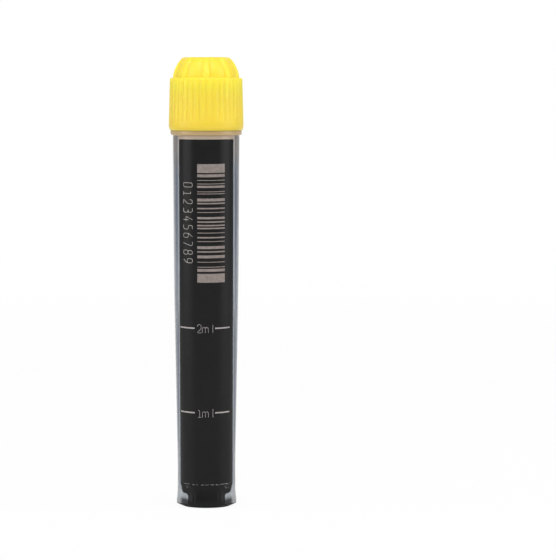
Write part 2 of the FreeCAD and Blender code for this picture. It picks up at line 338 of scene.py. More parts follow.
def dress(thing: Thing, material: Paint) -> Thing:
    """Gives a mesh one material all over.

    Args:
        thing: The mesh's object.
        material: The material.

    Returns:
        The same object.
    """
    thing.data.materials.clear()
    thing.data.materials.append(material)
    thing.data.polygons.foreach_set("material_index", [0] * len(thing.data.polygons))
    return thing


# ---- Node trees ----


def math_method(operation: str, swapped: bool = False) -> Callable[[Wire, Wire | float], Wire]:
    """Makes a method of Wire that adds a Math node for the wire and one other operand.

    Args:
        operation: The node's operation.
        swapped: Whether the wire is the second operand.

    Returns:
        The method.
    """

    def method(self: Wire, other: Wire | float) -> Wire:
        """Does the sum."""
        pair = (other, self) if swapped else (self, other)
        return self.board.add("ShaderNodeMath", 0, dict(enumerate(pair)), operation=operation)

    return method


class Wire:
    """A socket in a node tree that does sums by adding Math nodes."""

    def __init__(self, board: Board, socket: bpy.types.NodeSocket) -> None:
        """Holds the socket and the tree it is in."""
        self.board, self.socket = board, socket

    __add__ = __radd__ = math_method("ADD")
    __sub__ = math_method("SUBTRACT")
    __rsub__ = math_method("SUBTRACT", swapped=True)
    __mul__ = __rmul__ = math_method("MULTIPLY")
    __truediv__ = math_method("DIVIDE")
    __rtruediv__ = math_method("DIVIDE", swapped=True)
    least = math_method("MINIMUM")
    most = math_method("MAXIMUM")
    bearing = math_method("ARCTAN2")

    def __neg__(self) -> Wire:
        """Turns the sign round."""
        return self * -1.0

    def rule(self, operation: str) -> Wire:
        """Adds a Math node that takes one value."""
        return self.board.add("ShaderNodeMath", 0, {0: self}, operation=operation)

    def eased(self, low: Wire | float, high: Wire | float) -> Wire:
        """Goes smoothly from 0 to 1 between two values.

        Args:
            low: Where the result leaves 0.
            high: Where the result comes to 1.

        Returns:
            The eased value.
        """
        ends = {"Value": self, "From Min": low, "From Max": high}
        return self.board.add(
            "ShaderNodeMapRange", "Result", ends, interpolation_type="SMOOTHSTEP"
        )


class Board:
    """A node tree under construction, for a shader group, a material or a Geometry Nodes tree."""

    # The numbers of a Mix node's two colours and of the colour that it gives.
    mix_sockets = (6, 7, 2)

    def __init__(self, tree: Tree) -> None:
        """Holds the tree."""
        self.tree = tree
        self.placed = 0

    def node(self, kind: str, **settings: object) -> bpy.types.Node:
        """Places a node.

        Args:
            kind: The node's class name.
            settings: Its properties.

        Returns:
            The new node.
        """
        new = self.tree.nodes.new(kind)
        steps = divmod(self.placed, NODE_ROWS)
        new.location = [step * count for step, count in zip(NODE_STEP, steps)]
        self.placed += 1
        for key, value in settings.items():
            setattr(new, key, value)
        return new

    def feed(self, socket: bpy.types.NodeSocket, value: object) -> None:
        """Gives a socket its value.

        Args:
            socket: The socket of one of the tree's nodes.
            value: A wire or a plain value.
        """
        if isinstance(value, Wire):
            self.tree.links.new(value.socket, socket)
        else:
            socket.default_value = value

    def add(
        self,
        kind: str,
        output: str | int = 0,
        inputs: dict[str | int, object] | None = None,
        **settings: object,
    ) -> Wire:
        """Places a node and feeds its inputs.

        Args:
            kind: The node's class name.
            output: The name or number of the output that is wanted.
            inputs: What each input gets, by name or number.
            settings: The node's properties.

        Returns:
            The chosen output.
        """
        new = self.node(kind, **settings)
        for key, value in (inputs or {}).items():
            self.feed(new.inputs[key], value)
        return Wire(self, new.outputs[output])

    def vector(self, x: Wire | float, y: Wire | float = 0.0, z: Wire | float = 0.0) -> Wire:
        """Puts three values together."""
        return self.add("ShaderNodeCombineXYZ", 0, {0: x, 1: y, 2: z})

    def parts(self, vector: Wire) -> list[Wire]:
        """Takes a vector apart.

        Args:
            vector: The vector.

        Returns:
            Its three values.
        """
        node = self.node("ShaderNodeSeparateXYZ")
        self.feed(node.inputs[0], vector)
        return [Wire(self, output) for output in node.outputs]

    def blend(self, share: Wire, low: object, high: object, label: str = "") -> Wire:
        """Mixes two colours.

        Args:
            share: How much of the second colour there is.
            low: The first colour, plain or a wire.
            high: The second colour, plain or a wire.
            label: A name to show on the node.

        Returns:
            The mixed colour.
        """
        first, second, result = self.mix_sockets
        inputs = {"Factor": share, first: low, second: high}
        return self.add("ShaderNodeMix", result, inputs, data_type="RGBA", label=label)

    def socket(self, name: str, kind: str, comes_in: bool, value: object = None) -> None:
        """Adds a named socket to the tree's interface.

        Args:
            name: The socket's name.
            kind: Its type, such as Float or Geometry.
            comes_in: Whether it is an input.
            value: Its first value.
        """
        item = self.tree.interface.new_socket(
            name=name, in_out="INPUT" if comes_in else "OUTPUT", socket_type="NodeSocket" + kind
        )
        if value is not None:
            item.default_value = value


class Recipe(Board):
    """A Geometry Nodes tree with named inputs."""

    # The kind of socket that each kind of first value gets.
    kinds = {float: "Float", int: "Int", type(None): "Material"}

    def __init__(self, name: str, inputs: dict[str, object], takes_mesh: bool = True) -> None:
        """Makes the tree and its sockets.

        Args:
            name: The tree's name.
            inputs: Each input's first value, by its name. None stands for a material.
            takes_mesh: Whether the tree works on a mesh that it is given.
        """
        super().__init__(bpy.data.node_groups.new(name, "GeometryNodeTree"))
        self.socket("Geometry", "Geometry", False)
        if takes_mesh:
            self.socket("Geometry", "Geometry", True)
        for label, value in inputs.items():
            self.socket(label, self.kinds[type(value)], True, value)
        self.entry = self.node("NodeGroupInput")
        self.exit = self.node("NodeGroupOutput")

    def __getitem__(self, name: str) -> Wire:
        """Gives one of the tree's inputs."""
        return Wire(self, self.entry.outputs[name])

    def yields(self, geometry: Wire, finish: Wire | None = None) -> Tree:
        """Ends the tree.

        Args:
            geometry: What the tree has made.
            finish: The material that it gets, if the tree is not a step inside another.

        Returns:
            The finished tree.
        """
        if finish is not None:
            made = {"Geometry": self.realized(geometry), "Material": finish}
            geometry = self.add("GeometryNodeSetMaterial", 0, made)
        self.feed(self.exit.inputs[0], geometry)
        return self.tree

    def realized(self, geometry: Wire) -> Wire:
        """Turns instances into plain geometry."""
        return self.add("GeometryNodeRealizeInstances", 0, {"Geometry": geometry})

    def placed_at(self, geometry: Wire, position: Wire) -> Wire:
        """Puts each point of some geometry at a place."""
        moved = {"Geometry": geometry, "Position": position}
        return self.add("GeometryNodeSetPosition", 0, moved)

    def joined(self, *pieces: Wire) -> Wire:
        """Joins pieces of geometry.

        Args:
            pieces: The pieces, in order.

        Returns:
            All of them as one.
        """
        node = self.node("GeometryNodeJoinGeometry")
        for piece in pieces:
            self.feed(node.inputs[0], piece)
        return Wire(self, node.outputs[0])


def named_inputs(values: object) -> dict[str, object]:
    """Gives a dataclass's values under the names that a tree's inputs have."""
    return {key.replace("_", " ").capitalize(): value for key, value in vars(values).items()}


def follow(thing: Thing, tree: Tree, values: dict[str, object]) -> None:
    """Puts a Geometry Nodes tree on an object and sets its inputs.

    Args:
        thing: The object.
        tree: The tree.
        values: Each input's value, by the input's name.
    """
    modifier = thing.modifiers.new(tree.name, "NODES")
    modifier.node_group = tree
    for item in tree.interface.items_tree:
        if item.in_out == "INPUT" and item.name in values:
            modifier[item.identifier] = values[item.name]


class Relief(Recipe):
    """A tree that moves the points of one zone of a turned wall away from the axis."""

    # The numbers of a Compare node's two whole numbers.
    whole_sockets = (2, 3)

    def __init__(self, name: str, inputs: dict[str, object]) -> None:
        """Makes the tree and finds where each point is, in millimetres and turns from +X.

        Args:
            name: The tree's name.
            inputs: Each input's first value, by its name.
        """
        super().__init__(name, inputs)
        spot = self.add("GeometryNodeInputPosition")
        self.x, self.y, self.z = (part / MM for part in self.parts(spot))
        self.radius = (self.x * self.x + self.y * self.y).rule("SQRT")
        self.turn = (self.y.bearing(self.x) / FULL_TURN + 1.0).rule("FRACT")

    def push_out(self, zone: Zone, rise: Wire) -> Tree:
        """Ends the tree.

        Args:
            zone: Which points move.
            rise: How far each moves out, in millimetres.

        Returns:
            The finished tree.
        """
        zones = self.add("GeometryNodeInputNamedAttribute", 0, {"Name": "zone"}, data_type="INT")
        pair = dict(zip(self.whole_sockets, (zones, zone.value)))
        chosen = self.add("FunctionNodeCompare", 0, pair, data_type="INT", operation="EQUAL")
        shift = self.vector(*(part / self.radius * rise * MM for part in (self.x, self.y)))
        moved = {"Geometry": self["Geometry"], "Selection": chosen, "Offset": shift}
        return self.yields(self.add("GeometryNodeSetPosition", 0, moved))

    def off_middle(self) -> Wire:
        """Gives how far a point is from the middle between two repeats, in shares of a pitch."""
        return ((self.turn * self["Count"]).rule("FRACT") - 0.5).rule("ABSOLUTE")


# ---- Where things are ----


@dataclass(frozen=True)
class Anchors:
    """Heights and radii that come from the frame, in millimetres."""

    tube_low: float
    rim: float
    collar_radius: float
    panel_top: float
    cap_foot: float
    cap_top: float
    seal_low: float
    seal_high: float
    seal_radius: float

    @classmethod
    def from_frame(cls) -> Anchors:
        """Reads the boxes of the frame's nodes.

        Returns:
            The heights and radii.
        """
        tube, jacket, cap, seal = (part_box(node) for node in ("tube", "jacket", "cap", "cap_seal"))
        return cls(
            tube_low=tube[0].z / MM,
            rim=tube[1].z / MM,
            collar_radius=tube[1].x / MM,
            panel_top=jacket[1].z / MM,
            cap_foot=cap[0].z / MM,
            cap_top=cap[1].z / MM,
            seal_low=seal[0].z / MM,
            seal_high=seal[1].z / MM,
            seal_radius=seal[1].x / MM,
        )


@dataclass(frozen=True)
class ScrewThread:
    """A helical ridge, in millimetres. Its turns are counted up from the ridge's foot."""

    start: float
    depth: float = 0.4
    lead: float = 2.5
    turns: float = 1.75
    root_width: float = 1.1
    crest_width: float = 0.5
    run_out: float = 0.06


def thread_tree(hand: Hand) -> Tree:
    """Builds the tree that raises a screw thread on a turned wall.

    Args:
        hand: Whether the ridge faces out or in.

    Returns:
        The tree.
    """
    tree = Relief(f"screw_thread_{hand.name.lower()}", named_inputs(ScrewThread(70.0)))
    height = (tree.z - tree["Start"]) / tree["Lead"]
    along = (height - tree.turn).rule("ROUND") + tree.turn
    off = ((height - along) * tree["Lead"]).rule("ABSOLUTE")
    flank = off.eased(tree["Root width"] / 2.0, tree["Crest width"] / 2.0)
    starts = along.eased(0.0, tree["Run out"])
    ends = along.eased(tree["Turns"], tree["Turns"] - tree["Run out"])
    return tree.push_out(Zone.THREAD, flank * starts * ends * tree["Depth"] * float(hand.value))


# ---- Tube and jacket ----


@dataclass
class Body:
    """The forms that the clear tube and the dark jacket share, in millimetres."""

    at: Anchors
    foot_radius: float = 5.41
    foot_band: float = 1.3
    foot_height: float = 3.0
    waist_radius: float = 5.24
    waist_height: float = 8.2
    belly_radius: float = 5.87
    belly_height: float = 40.9
    shoulder_radius: float = 6.04
    collar_rise: float = 0.7
    panel_thickness: float = 0.4
    panel_half_top: float = 4.88
    panel_half_low: float = 4.70
    cheek_height: float = 4.3
    cheek_radius: float = 0.55
    cheek_blend: tuple[Pair, ...] = ((-0.1, -0.06), (0.15, 0.003))
    leg_height: float = 2.15
    leg_half: float = 3.3
    edge: float = 0.05
    edge_start: float = 0.02
    edge_growth: float = 0.1
    pocket_trim: float = 1.6
    closest_rings: float = 0.012
    window_chords: int = 52
    panel_chords: int = 76
    cheek_points: int = 9

    @property
    def collar_underside(self) -> float:
        """The height where the collar starts."""
        return self.at.panel_top + self.collar_rise

    @cached_property
    def side(self) -> list[Row]:
        """The outside from the base plate to the collar."""
        return soften(
            [
                Turn(self.foot_radius, self.at.tube_low),
                Turn(self.foot_radius, self.foot_band, 0.5),
                Turn(self.waist_radius, self.foot_height, 0.9),
                Turn(self.waist_radius, self.waist_height, 2.5),
                Turn(self.belly_radius, self.belly_height, 8.0),
                Turn(self.shoulder_radius, self.collar_underside),
            ],
            steps=6,
        )

    @cached_property
    def outline(self) -> list[Pair]:
        """Heights, from the base plate up, each with a panel's half width there."""
        leg, half, curve = self.leg_height, self.leg_half, self.cheek_radius
        quarter = np.linspace(0, math.pi / 2, self.cheek_points)
        low = [(leg + curve * math.sin(a), half + curve * (1 - math.cos(a))) for a in quarter]
        high = [
            (leg + curve + curve * (1 - math.cos(a)), half + curve * (1 + math.sin(a)))
            for a in quarter[1:]
        ]
        foot, wide = self.cheek_height, self.panel_half_low
        blend = [(foot + up, wide + out) for up, out in self.cheek_blend]
        top = (self.at.panel_top, self.panel_half_top)
        return [(self.at.tube_low, half), *low, *high, *blend, top]

    def heights(self, extra: Iterable[float] = ()) -> list[float]:
        """Gives the heights of the rings beside the panels, from the base plate to their top.

        Args:
            extra: More heights that get a ring.

        Returns:
            The heights in millimetres, upwards.
        """
        low, top = self.at.tube_low, self.at.panel_top
        found = [*(row.z for row in self.side), *(z for z, _ in self.outline), *extra]
        spaced: list[float] = []
        for z in sorted({round(z, 4) for z in found if low <= z <= top}):
            if not spaced or z - spaced[-1] > self.closest_rings:
                spaced.append(z)
        spaced[-1] = top
        return spaced

    def radius(self, z: float) -> float:
        """Gives the outside radius at a height."""
        return float(np.interp(z, *zip(*((row.z, row.r) for row in self.side))))

    def half_width(self, z: float) -> float:
        """Gives a panel's half width at a height."""
        return float(np.interp(z, *zip(*self.outline)))

    def edge_at(self, z: float) -> float:
        """Gives the size of the broken edge at a height: none where the jacket meets its base."""
        grown = (z - self.at.tube_low - self.edge_start) / self.edge_growth
        return self.edge * min(1.0, max(0.0, grown))

    def pocketed(self, z: float) -> np.ndarray:
        """Gives the tube's outline at a height, with the two pockets that the panels lie in.

        Args:
            z: The height in millimetres.

        Returns:
            The outline's points, anticlockwise from above.
        """
        outer, half, edge = self.radius(z), self.half_width(z), self.edge_at(z)
        floor = outer - self.panel_thickness
        window = math.acos(half / outer) - edge / outer
        panel = math.acos(half / floor)
        wall = np.array([(half, math.sqrt(outer**2 - half**2) - self.pocket_trim * edge)])
        parts = []
        for turn, sign in SIDES:
            parts += [
                arc(outer, turn - window, turn + window, self.window_chords),
                sign * wall,
                arc(floor, turn + panel, turn + math.pi - panel, self.panel_chords),
                sign * wall * (-1, 1),
            ]
        return np.concatenate(parts)

    def whole(self, radius: float, z: float) -> np.ndarray:
        """Gives a full ring with as many points as a pocketed one.

        Args:
            radius: The ring's radius in millimetres.
            z: The height whose panel edges the points line up with.

        Returns:
            The ring's points.
        """
        angle = math.acos(self.half_width(z) / self.radius(z))
        parts = []
        for turn, _ in SIDES:
            left, right = turn + angle, turn + math.pi - angle
            parts += [
                arc(radius, turn - angle, turn + angle, self.window_chords),
                arc(radius, left, left, 0),
                arc(radius, left, right, self.panel_chords),
                arc(radius, right, right, 0),
            ]
        return np.concatenate(parts)


@dataclass
class Tube(Body):
    """The clear tube with its collar, threaded neck and bore, in millimetres."""

    collar_thickness: float = 0.8
    collar_chamfer: float = 0.12
    neck_radius: float = 5.40
    rim_chamfer: float = 0.2
    mouth_radius: float = 4.75
    bore_low_radius: float = 4.47
    bore_floor: float = 1.1
    floor_radius: float = 0.6
    floor_points: int = 8
    floor_inner_share: float = 0.4
    thread: ScrewThread = ScrewThread(69.95)

    def build(self) -> Thing:
        """Builds the tube.

        Returns:
            Its object.
        """
        shell = Shell()
        rings = [shell.ring(self.pocketed(z), z) for z in self.heights()]
        shell.lid(rings[0], faces_up=False)
        top = self.at.panel_top
        rings += [shell.ring(self.whole(row.r, top), row.z, row.zone) for row in self.upper()]
        shell.stack(rings)
        shell.pole(rings[-1], self.bore_floor, faces_up=True)
        tube = shell.build("clear_tube")
        follow(tube, thread_tree(Hand.OUTWARD), named_inputs(self.thread))
        return bake(tube)

    def upper(self) -> list[Row]:
        """Turns the upper part, from the panels' top over the collar and neck and down the bore.

        Returns:
            The rings, in order.
        """
        collar, low = self.at.collar_radius, self.collar_underside
        high, foot = low + self.collar_thickness, self.bore_floor + self.floor_radius
        bore, curve = self.bore_low_radius, self.floor_radius
        floor_curve = [
            Turn(bore - curve * (1 - math.cos(a)), foot - curve * math.sin(a))
            for a in np.linspace(0, math.pi / 2, self.floor_points + 1)[1:]
        ]
        return soften(
            [
                Turn(self.radius(self.at.panel_top), self.at.panel_top),
                Turn(self.shoulder_radius, low, 0.04),
                Turn(collar - self.collar_chamfer, low, 0.02),
                Turn(collar, low + self.collar_chamfer, 0.03),
                Turn(collar, high, 0.03),
                Turn(self.neck_radius, high, 0.15, Zone.THREAD, 0.085),
                Turn(self.neck_radius, self.at.rim - self.rim_chamfer, 0.1),
                Turn(self.neck_radius - self.rim_chamfer, self.at.rim, 0.1),
                Turn(self.mouth_radius, self.at.rim, 0.12),
                Turn(bore, foot),
                *floor_curve,
                Turn(bore * self.floor_inner_share, self.bore_floor),
            ]
        )


@dataclass
class Jacket(Body):
    """The dark jacket: a base plate and two panels that rise from it, in millimetres.

    The seam's rings lie at shares of its width above and below its middle.
    """

    base_chamfer_width: float = 1.36
    base_chamfer_height: float = 0.6
    base_inner: float = 3.0
    panel_trim: float = 1.2
    seam_height: float = 4.35
    seam_width: float = 0.12
    seam_depth: float = 0.06
    seam_shares: tuple[float, ...] = (-0.5, -0.3, 0.0, 0.3, 0.5)
    leg_line_half: float = 2.25
    leg_line_reach: float = 0.17
    leg_line_depth: float = 0.06
    leg_line_top: float = 2.95
    leg_line_fade: float = 0.2

    def build(self) -> Thing:
        """Builds the jacket.

        Returns:
            Its object.
        """
        shell = Shell()
        seat = self.at.tube_low
        flat = self.foot_radius - self.base_chamfer_width
        base = soften(
            [
                Turn(flat - self.base_inner, 0.0),
                Turn(flat, 0.0, 0.22),
                Turn(self.foot_radius, self.base_chamfer_height, 0.14),
                Turn(self.foot_radius, seat),
            ]
        )
        rings = [shell.ring(self.whole(row.r, seat), row.z) for row in base]
        shell.pole(rings[0], 0.0, faces_up=False)
        shell.stack(rings)
        shell.lid(shell.ring(self.pocketed(seat), seat), faces_up=True)
        seam = (self.seam_height + share * self.seam_width for share in self.seam_shares)
        levels = self.heights(seam)
        for turn, sign in SIDES:
            rings = [shell.ring(self.tongue(z, turn, sign), z) for z in levels]
            shell.stack(rings)
            shell.lid(rings[-1], faces_up=True)
        return shell.build("dark_jacket")

    def groove(self, z: float) -> float:
        """Gives the depth of the moulding seam at a height."""
        off = abs(z - self.seam_height) / (self.seam_width / 2)
        return self.seam_depth * max(0.0, 1.0 - off)

    def tongue(self, z: float, turn: float, sign: float) -> np.ndarray:
        """Gives the outline of one panel at a height.

        Args:
            z: The height in millimetres.
            turn: The panel's bearing from the back one, in radians.
            sign: 1 for the back panel and -1 for the front one.

        Returns:
            The outline's points, anticlockwise from above.
        """
        outer, half, edge = self.radius(z), self.half_width(z), self.edge_at(z)
        floor, face = outer - self.panel_thickness, outer - self.groove(z)
        start = math.acos(half / outer) + edge / outer
        inner = math.acos(half / floor)
        front = arc(face, turn + start, turn + math.pi - start, self.panel_chords)
        in_leg = max(0.0, min(1.0, (self.leg_line_top - z) / self.leg_line_fade))
        off_line = np.abs(np.abs(front[:, 0]) - self.leg_line_half) / self.leg_line_reach
        sunk = self.leg_line_depth * in_leg * edge / self.edge * np.clip(1 - off_line, 0, 1)
        front *= (1 - sunk / face)[:, None]
        back = arc(floor, turn + math.pi - inner, turn + inner, self.panel_chords)
        brink = math.sqrt(outer**2 - half**2) - self.panel_trim * edge
        wall = sign * np.array([(half, brink)])
        return np.concatenate((front, wall * (-1, 1), back, wall))


# ---- Screw cap and seal ring ----


@dataclass(frozen=True)
class Ribs:
    """The fine grooves round the skirt, in millimetres. The foot is the height they start at."""

    foot: float = 69.8
    count: float = 36.0
    groove_depth: float = 0.11
    groove_radius: float = 0.4
    run_out: float = 0.5


@dataclass(frozen=True)
class Flutes:
    """The broad flutes of the crown, in millimetres and degrees, from its foot to its top."""

    low: float = 77.68
    top: float = 81.46
    count: float = 8.0
    flute_angle: float = 33.0
    blend_angle: float = 6.0
    depth_low: float = 0.55
    depth_top: float = 0.3
    start: float = 0.05


def rib_tree() -> Tree:
    """Builds the tree that cuts the grip's fine grooves round the skirt.

    Returns:
        The tree.
    """
    tree = Relief("grip_ribs", named_inputs(Ribs()))
    off = (tree.off_middle() - 0.5) * (FULL_TURN / tree["Count"])
    cut = tree["Groove radius"]
    centre = tree.radius - tree["Groove depth"] + cut
    aside = centre * off.rule("SINE")
    reach = cut * cut - aside * aside
    wall = centre * off.rule("COSINE") - reach.most(0.0).rule("SQRT")
    depth = (tree.radius - wall).most(0.0)
    grown = tree.z.eased(tree["Foot"], tree["Foot"] + tree["Run out"])
    return tree.push_out(Zone.RIBS, -(depth * grown))


def flute_tree() -> Tree:
    """Builds the tree that sinks the crown's broad flutes.

    Returns:
        The tree.
    """
    tree = Relief("crown_flutes", named_inputs(Flutes()))
    off = tree.off_middle() * 360.0 / tree["Count"]
    half, blend = tree["Flute angle"] / 2.0, tree["Blend angle"] / 2.0
    sunk = off.eased(half + blend, half - blend)
    up = (tree.z - tree["Low"]) / (tree["Top"] - tree["Low"])
    depth = tree["Depth low"] + (tree["Depth top"] - tree["Depth low"]) * up
    return tree.push_out(Zone.FLUTES, -(sunk * depth * up.eased(0.0, tree["Start"])))


@dataclass
class ScrewCap:
    """The screw cap: ribbed skirt, fluted crown, recess, plug and thread, in millimetres.

    The recess's rim and foot each say how much wider than its lobes it is at some heights, from
    the cap's top and from the recess's floor.
    """

    at: Anchors
    columns: int = 432
    skirt_low_radius: float = 6.76
    skirt_top_radius: float = 6.56
    foot_band: float = 0.55
    foot_inset: float = 0.2
    cavity_radius: float = 5.92
    ceiling: float = 76.66
    lead_in: float = 0.25
    shoulder: float = 77.68
    shoulder_round: float = 0.25
    crown_low_radius: float = 6.03
    crown_top_radius: float = 4.13
    crown_arc: float = 5.9
    crown_edge: float = 0.55
    crown_foot_round: float = 0.12
    crown_points: int = 25
    crown_edge_points: int = 8
    plug_radius: float = 3.9
    plug_inner_share: float = 0.5
    plug_length: float = 1.6
    recess_radius: float = 2.1
    recess_floor: float = 78.06
    recess_apron: float = 1.0
    recess_rim: tuple[Pair, ...] = ((0.12, 0.0), (0.05, -0.02), (0.0, -0.10))
    recess_foot: tuple[Pair, ...] = ((0.0, 0.12), (-0.04, 0.03), (-0.14, 0.0))
    lobes: int = 8
    lobe_reach: float = 2.95
    lobe_width: float = 0.8
    rib_foot: float = 1.5
    thread: ScrewThread = ScrewThread(69.16)

    def crown(self) -> list[Turn]:
        """Works out the bulging side of the crown.

        Returns:
            Its corners, from the shoulder to the top.
        """
        low = np.array((self.crown_low_radius, self.shoulder))
        high = np.array((self.crown_top_radius, self.at.cap_top))
        chord = high - low
        length = float(np.linalg.norm(chord))
        inward = np.array((-chord[1], chord[0])) / length
        centre = (low + high) / 2 + inward * math.sqrt(self.crown_arc**2 - length**2 / 4)
        first, last = (math.atan2(*(end - centre)[::-1]) for end in (low, high))
        last -= self.crown_edge / self.crown_arc
        spots = [
            centre + self.crown_arc * np.array((math.cos(a), math.sin(a)))
            for a in np.linspace(first, last, self.crown_points)
        ]
        brim, end = spots[-1], high - np.array((self.crown_edge, 0.0))
        shares = np.linspace(0.0, 1.0, self.crown_edge_points)
        spots += [bend(brim, high, end, t) for t in shares[1:]]
        fillets = (self.crown_foot_round, *[0.0] * len(spots))
        return [Turn(*map(float, spot), cut, Zone.FLUTES) for spot, cut in zip(spots, fillets)]

    def outside(self) -> list[Row]:
        """Turns the outside, from the cavity's mouth to the rim of the recess.

        Returns:
            The rings, in order.
        """
        foot, low = self.at.cap_foot, self.skirt_low_radius
        return soften(
            [
                Turn(self.cavity_radius, foot + self.lead_in),
                Turn(self.cavity_radius + self.lead_in, foot, 0.05),
                Turn(low - self.foot_inset, foot, 0.05),
                Turn(low, foot + self.foot_band, 0.2),
                Turn(low, foot + self.rib_foot, 0.3, Zone.RIBS, 0.35),
                Turn(self.skirt_top_radius, self.shoulder, self.shoulder_round),
                *self.crown(),
                Turn(self.recess_radius + self.recess_apron, self.at.cap_top),
            ],
            steps=5,
        )

    def inside(self) -> list[Row]:
        """Turns the inside, from the plug's underside to the cavity's mouth.

        Returns:
            The rings, in order.
        """
        plug_foot = self.ceiling - self.plug_length
        return soften(
            [
                Turn(self.plug_radius * self.plug_inner_share, plug_foot),
                Turn(self.plug_radius, plug_foot, 0.2),
                Turn(self.plug_radius, self.ceiling, 0.1),
                Turn(self.cavity_radius, self.ceiling, 0.1, Zone.THREAD, 0.12),
                Turn(self.cavity_radius, self.at.cap_foot + self.lead_in),
            ]
        )

    def lobed(self, grow: float) -> np.ndarray:
        """Gives the outline of the driving recess.

        Args:
            grow: How much larger the outline is, in millimetres, all round.

        Returns:
            One point for each column of the cap.
        """
        half = self.lobe_width / 2 + grow
        middle = self.lobe_reach - self.lobe_width / 2
        step = FULL_TURN / self.lobes
        spots = []
        for column in range(self.columns):
            bearing = FULL_TURN * column / self.columns
            off = abs((bearing + step / 2) % step - step / 2)
            if off <= math.atan2(half, middle):
                across = middle * math.sin(off)
                reach = middle * math.cos(off) + math.sqrt(max(half**2 - across**2, 0.0))
            else:
                reach = half / math.sin(off)
            reach = max(self.recess_radius + grow, reach)
            spots.append((reach * math.cos(bearing), reach * math.sin(bearing)))
        return np.array(spots)

    def build(self) -> Thing:
        """Builds the cap.

        Returns:
            Its object.
        """
        shell = Shell()
        turned = self.inside() + self.outside()[1:]
        rings = [shell.ring(circle(row.r, self.columns), row.z, row.zone) for row in turned]
        shell.pole(rings[0], self.ceiling - self.plug_length, faces_up=False)
        top, floor = self.at.cap_top, self.recess_floor
        recess = [(grow, top + up) for grow, up in self.recess_rim]
        recess.append((0.0, (top + floor) / 2))
        recess += [(grow, floor + up) for grow, up in self.recess_foot]
        rings += [shell.ring(self.lobed(grow), z) for grow, z in recess]
        shell.stack(rings)
        shell.pole(rings[-1], floor, faces_up=True)
        cap = shell.build("screw_cap")
        follow(cap, rib_tree(), named_inputs(Ribs(self.at.cap_foot + self.rib_foot)))
        follow(cap, flute_tree(), named_inputs(Flutes(self.shoulder, top)))
        follow(cap, thread_tree(Hand.INWARD), named_inputs(self.thread))
        return bake(cap)


@dataclass
class SealRing:
    """The flat elastic ring between the tube's rim and the cap, in millimetres."""

    at: Anchors
    inner_radius: float = 3.93
    corner: float = 0.2
    columns: int = 144

    def build(self) -> Thing:
        """Builds the ring.

        Returns:
            Its object.
        """
        low, high = self.at.seal_low, self.at.seal_high
        inner, outer = self.inner_radius, self.at.seal_radius
        seam = Turn((inner + outer) / 2, low)
        corners = ((outer, low), (outer, high), (inner, high), (inner, low))
        rows = soften([seam, *(Turn(*spot, self.corner) for spot in corners), seam], steps=5)
        shell = Shell()
        shell.stack([shell.ring(circle(row.r, self.columns), row.z) for row in rows])
        return shell.build("seal_ring")


# ---- Laser marks ----


def wrap_tree() -> Tree:
    """Builds the step that lays flat artwork on the front panel as a thin raised layer.

    The artwork's X is the distance along the surface from the panel's middle, and its Y is the
    height, both in millimetres.

    Returns:
        The tree.
    """
    levels = {"Low height": 8.2, "High height": 40.9, "Top height": 67.4}
    radii = {"Low radius": 5.24, "High radius": 5.87, "Top radius": 6.04}
    layers = {"Tilt": 0.06, "Sunk": 0.02, "Proud": 0.012}
    tree = Recipe("laid_on_panel", {**levels, **radii, **layers})
    along, height, _ = tree.parts(tree.add("GeometryNodeInputPosition"))
    radius = tree["Low radius"]
    for low, high in (("Low", "High"), ("High", "Top")):
        span = tree[f"{high} height"] - tree[f"{low} height"]
        share = ((height - tree[f"{low} height"]) / span).most(0.0).least(1.0)
        radius = radius + (tree[f"{high} radius"] - tree[f"{low} radius"]) * share
    bearing = along / radius
    out = radius - tree["Sunk"]
    sag = (1.0 - bearing.rule("COSINE")) * radius * tree["Tilt"]
    place = tree.vector(
        out * bearing.rule("SINE") * MM,
        -(out * bearing.rule("COSINE") * MM),
        (height + sag) * MM,
    )
    base = tree.placed_at(tree["Geometry"], place)
    lift = {
        "Mesh": base,
        "Offset": tree.add("GeometryNodeInputNormal"),
        "Offset Scale": (tree["Sunk"] + tree["Proud"]) * MM,
        "Individual": False,
    }
    raised = tree.add("GeometryNodeExtrudeMesh", "Mesh", lift, mode="FACES")
    back = tree.add("GeometryNodeFlipFaces", 0, {"Mesh": base})
    both = {"Geometry": tree.joined(raised, back), "Distance": MARK_MERGE_DISTANCE}
    return tree.yields(tree.add("GeometryNodeMergeByDistance", 0, both))


# Columns of points in a bar and in a dash, and points in a stroke's bend.
BAR_COLUMNS = 22
DASH_COLUMNS = 4
BEND_POINTS = 5
# How thin and how thick a dash may be, in shares of the run's thickness.
THICKNESS_SPREAD = (0.6, 1.2)


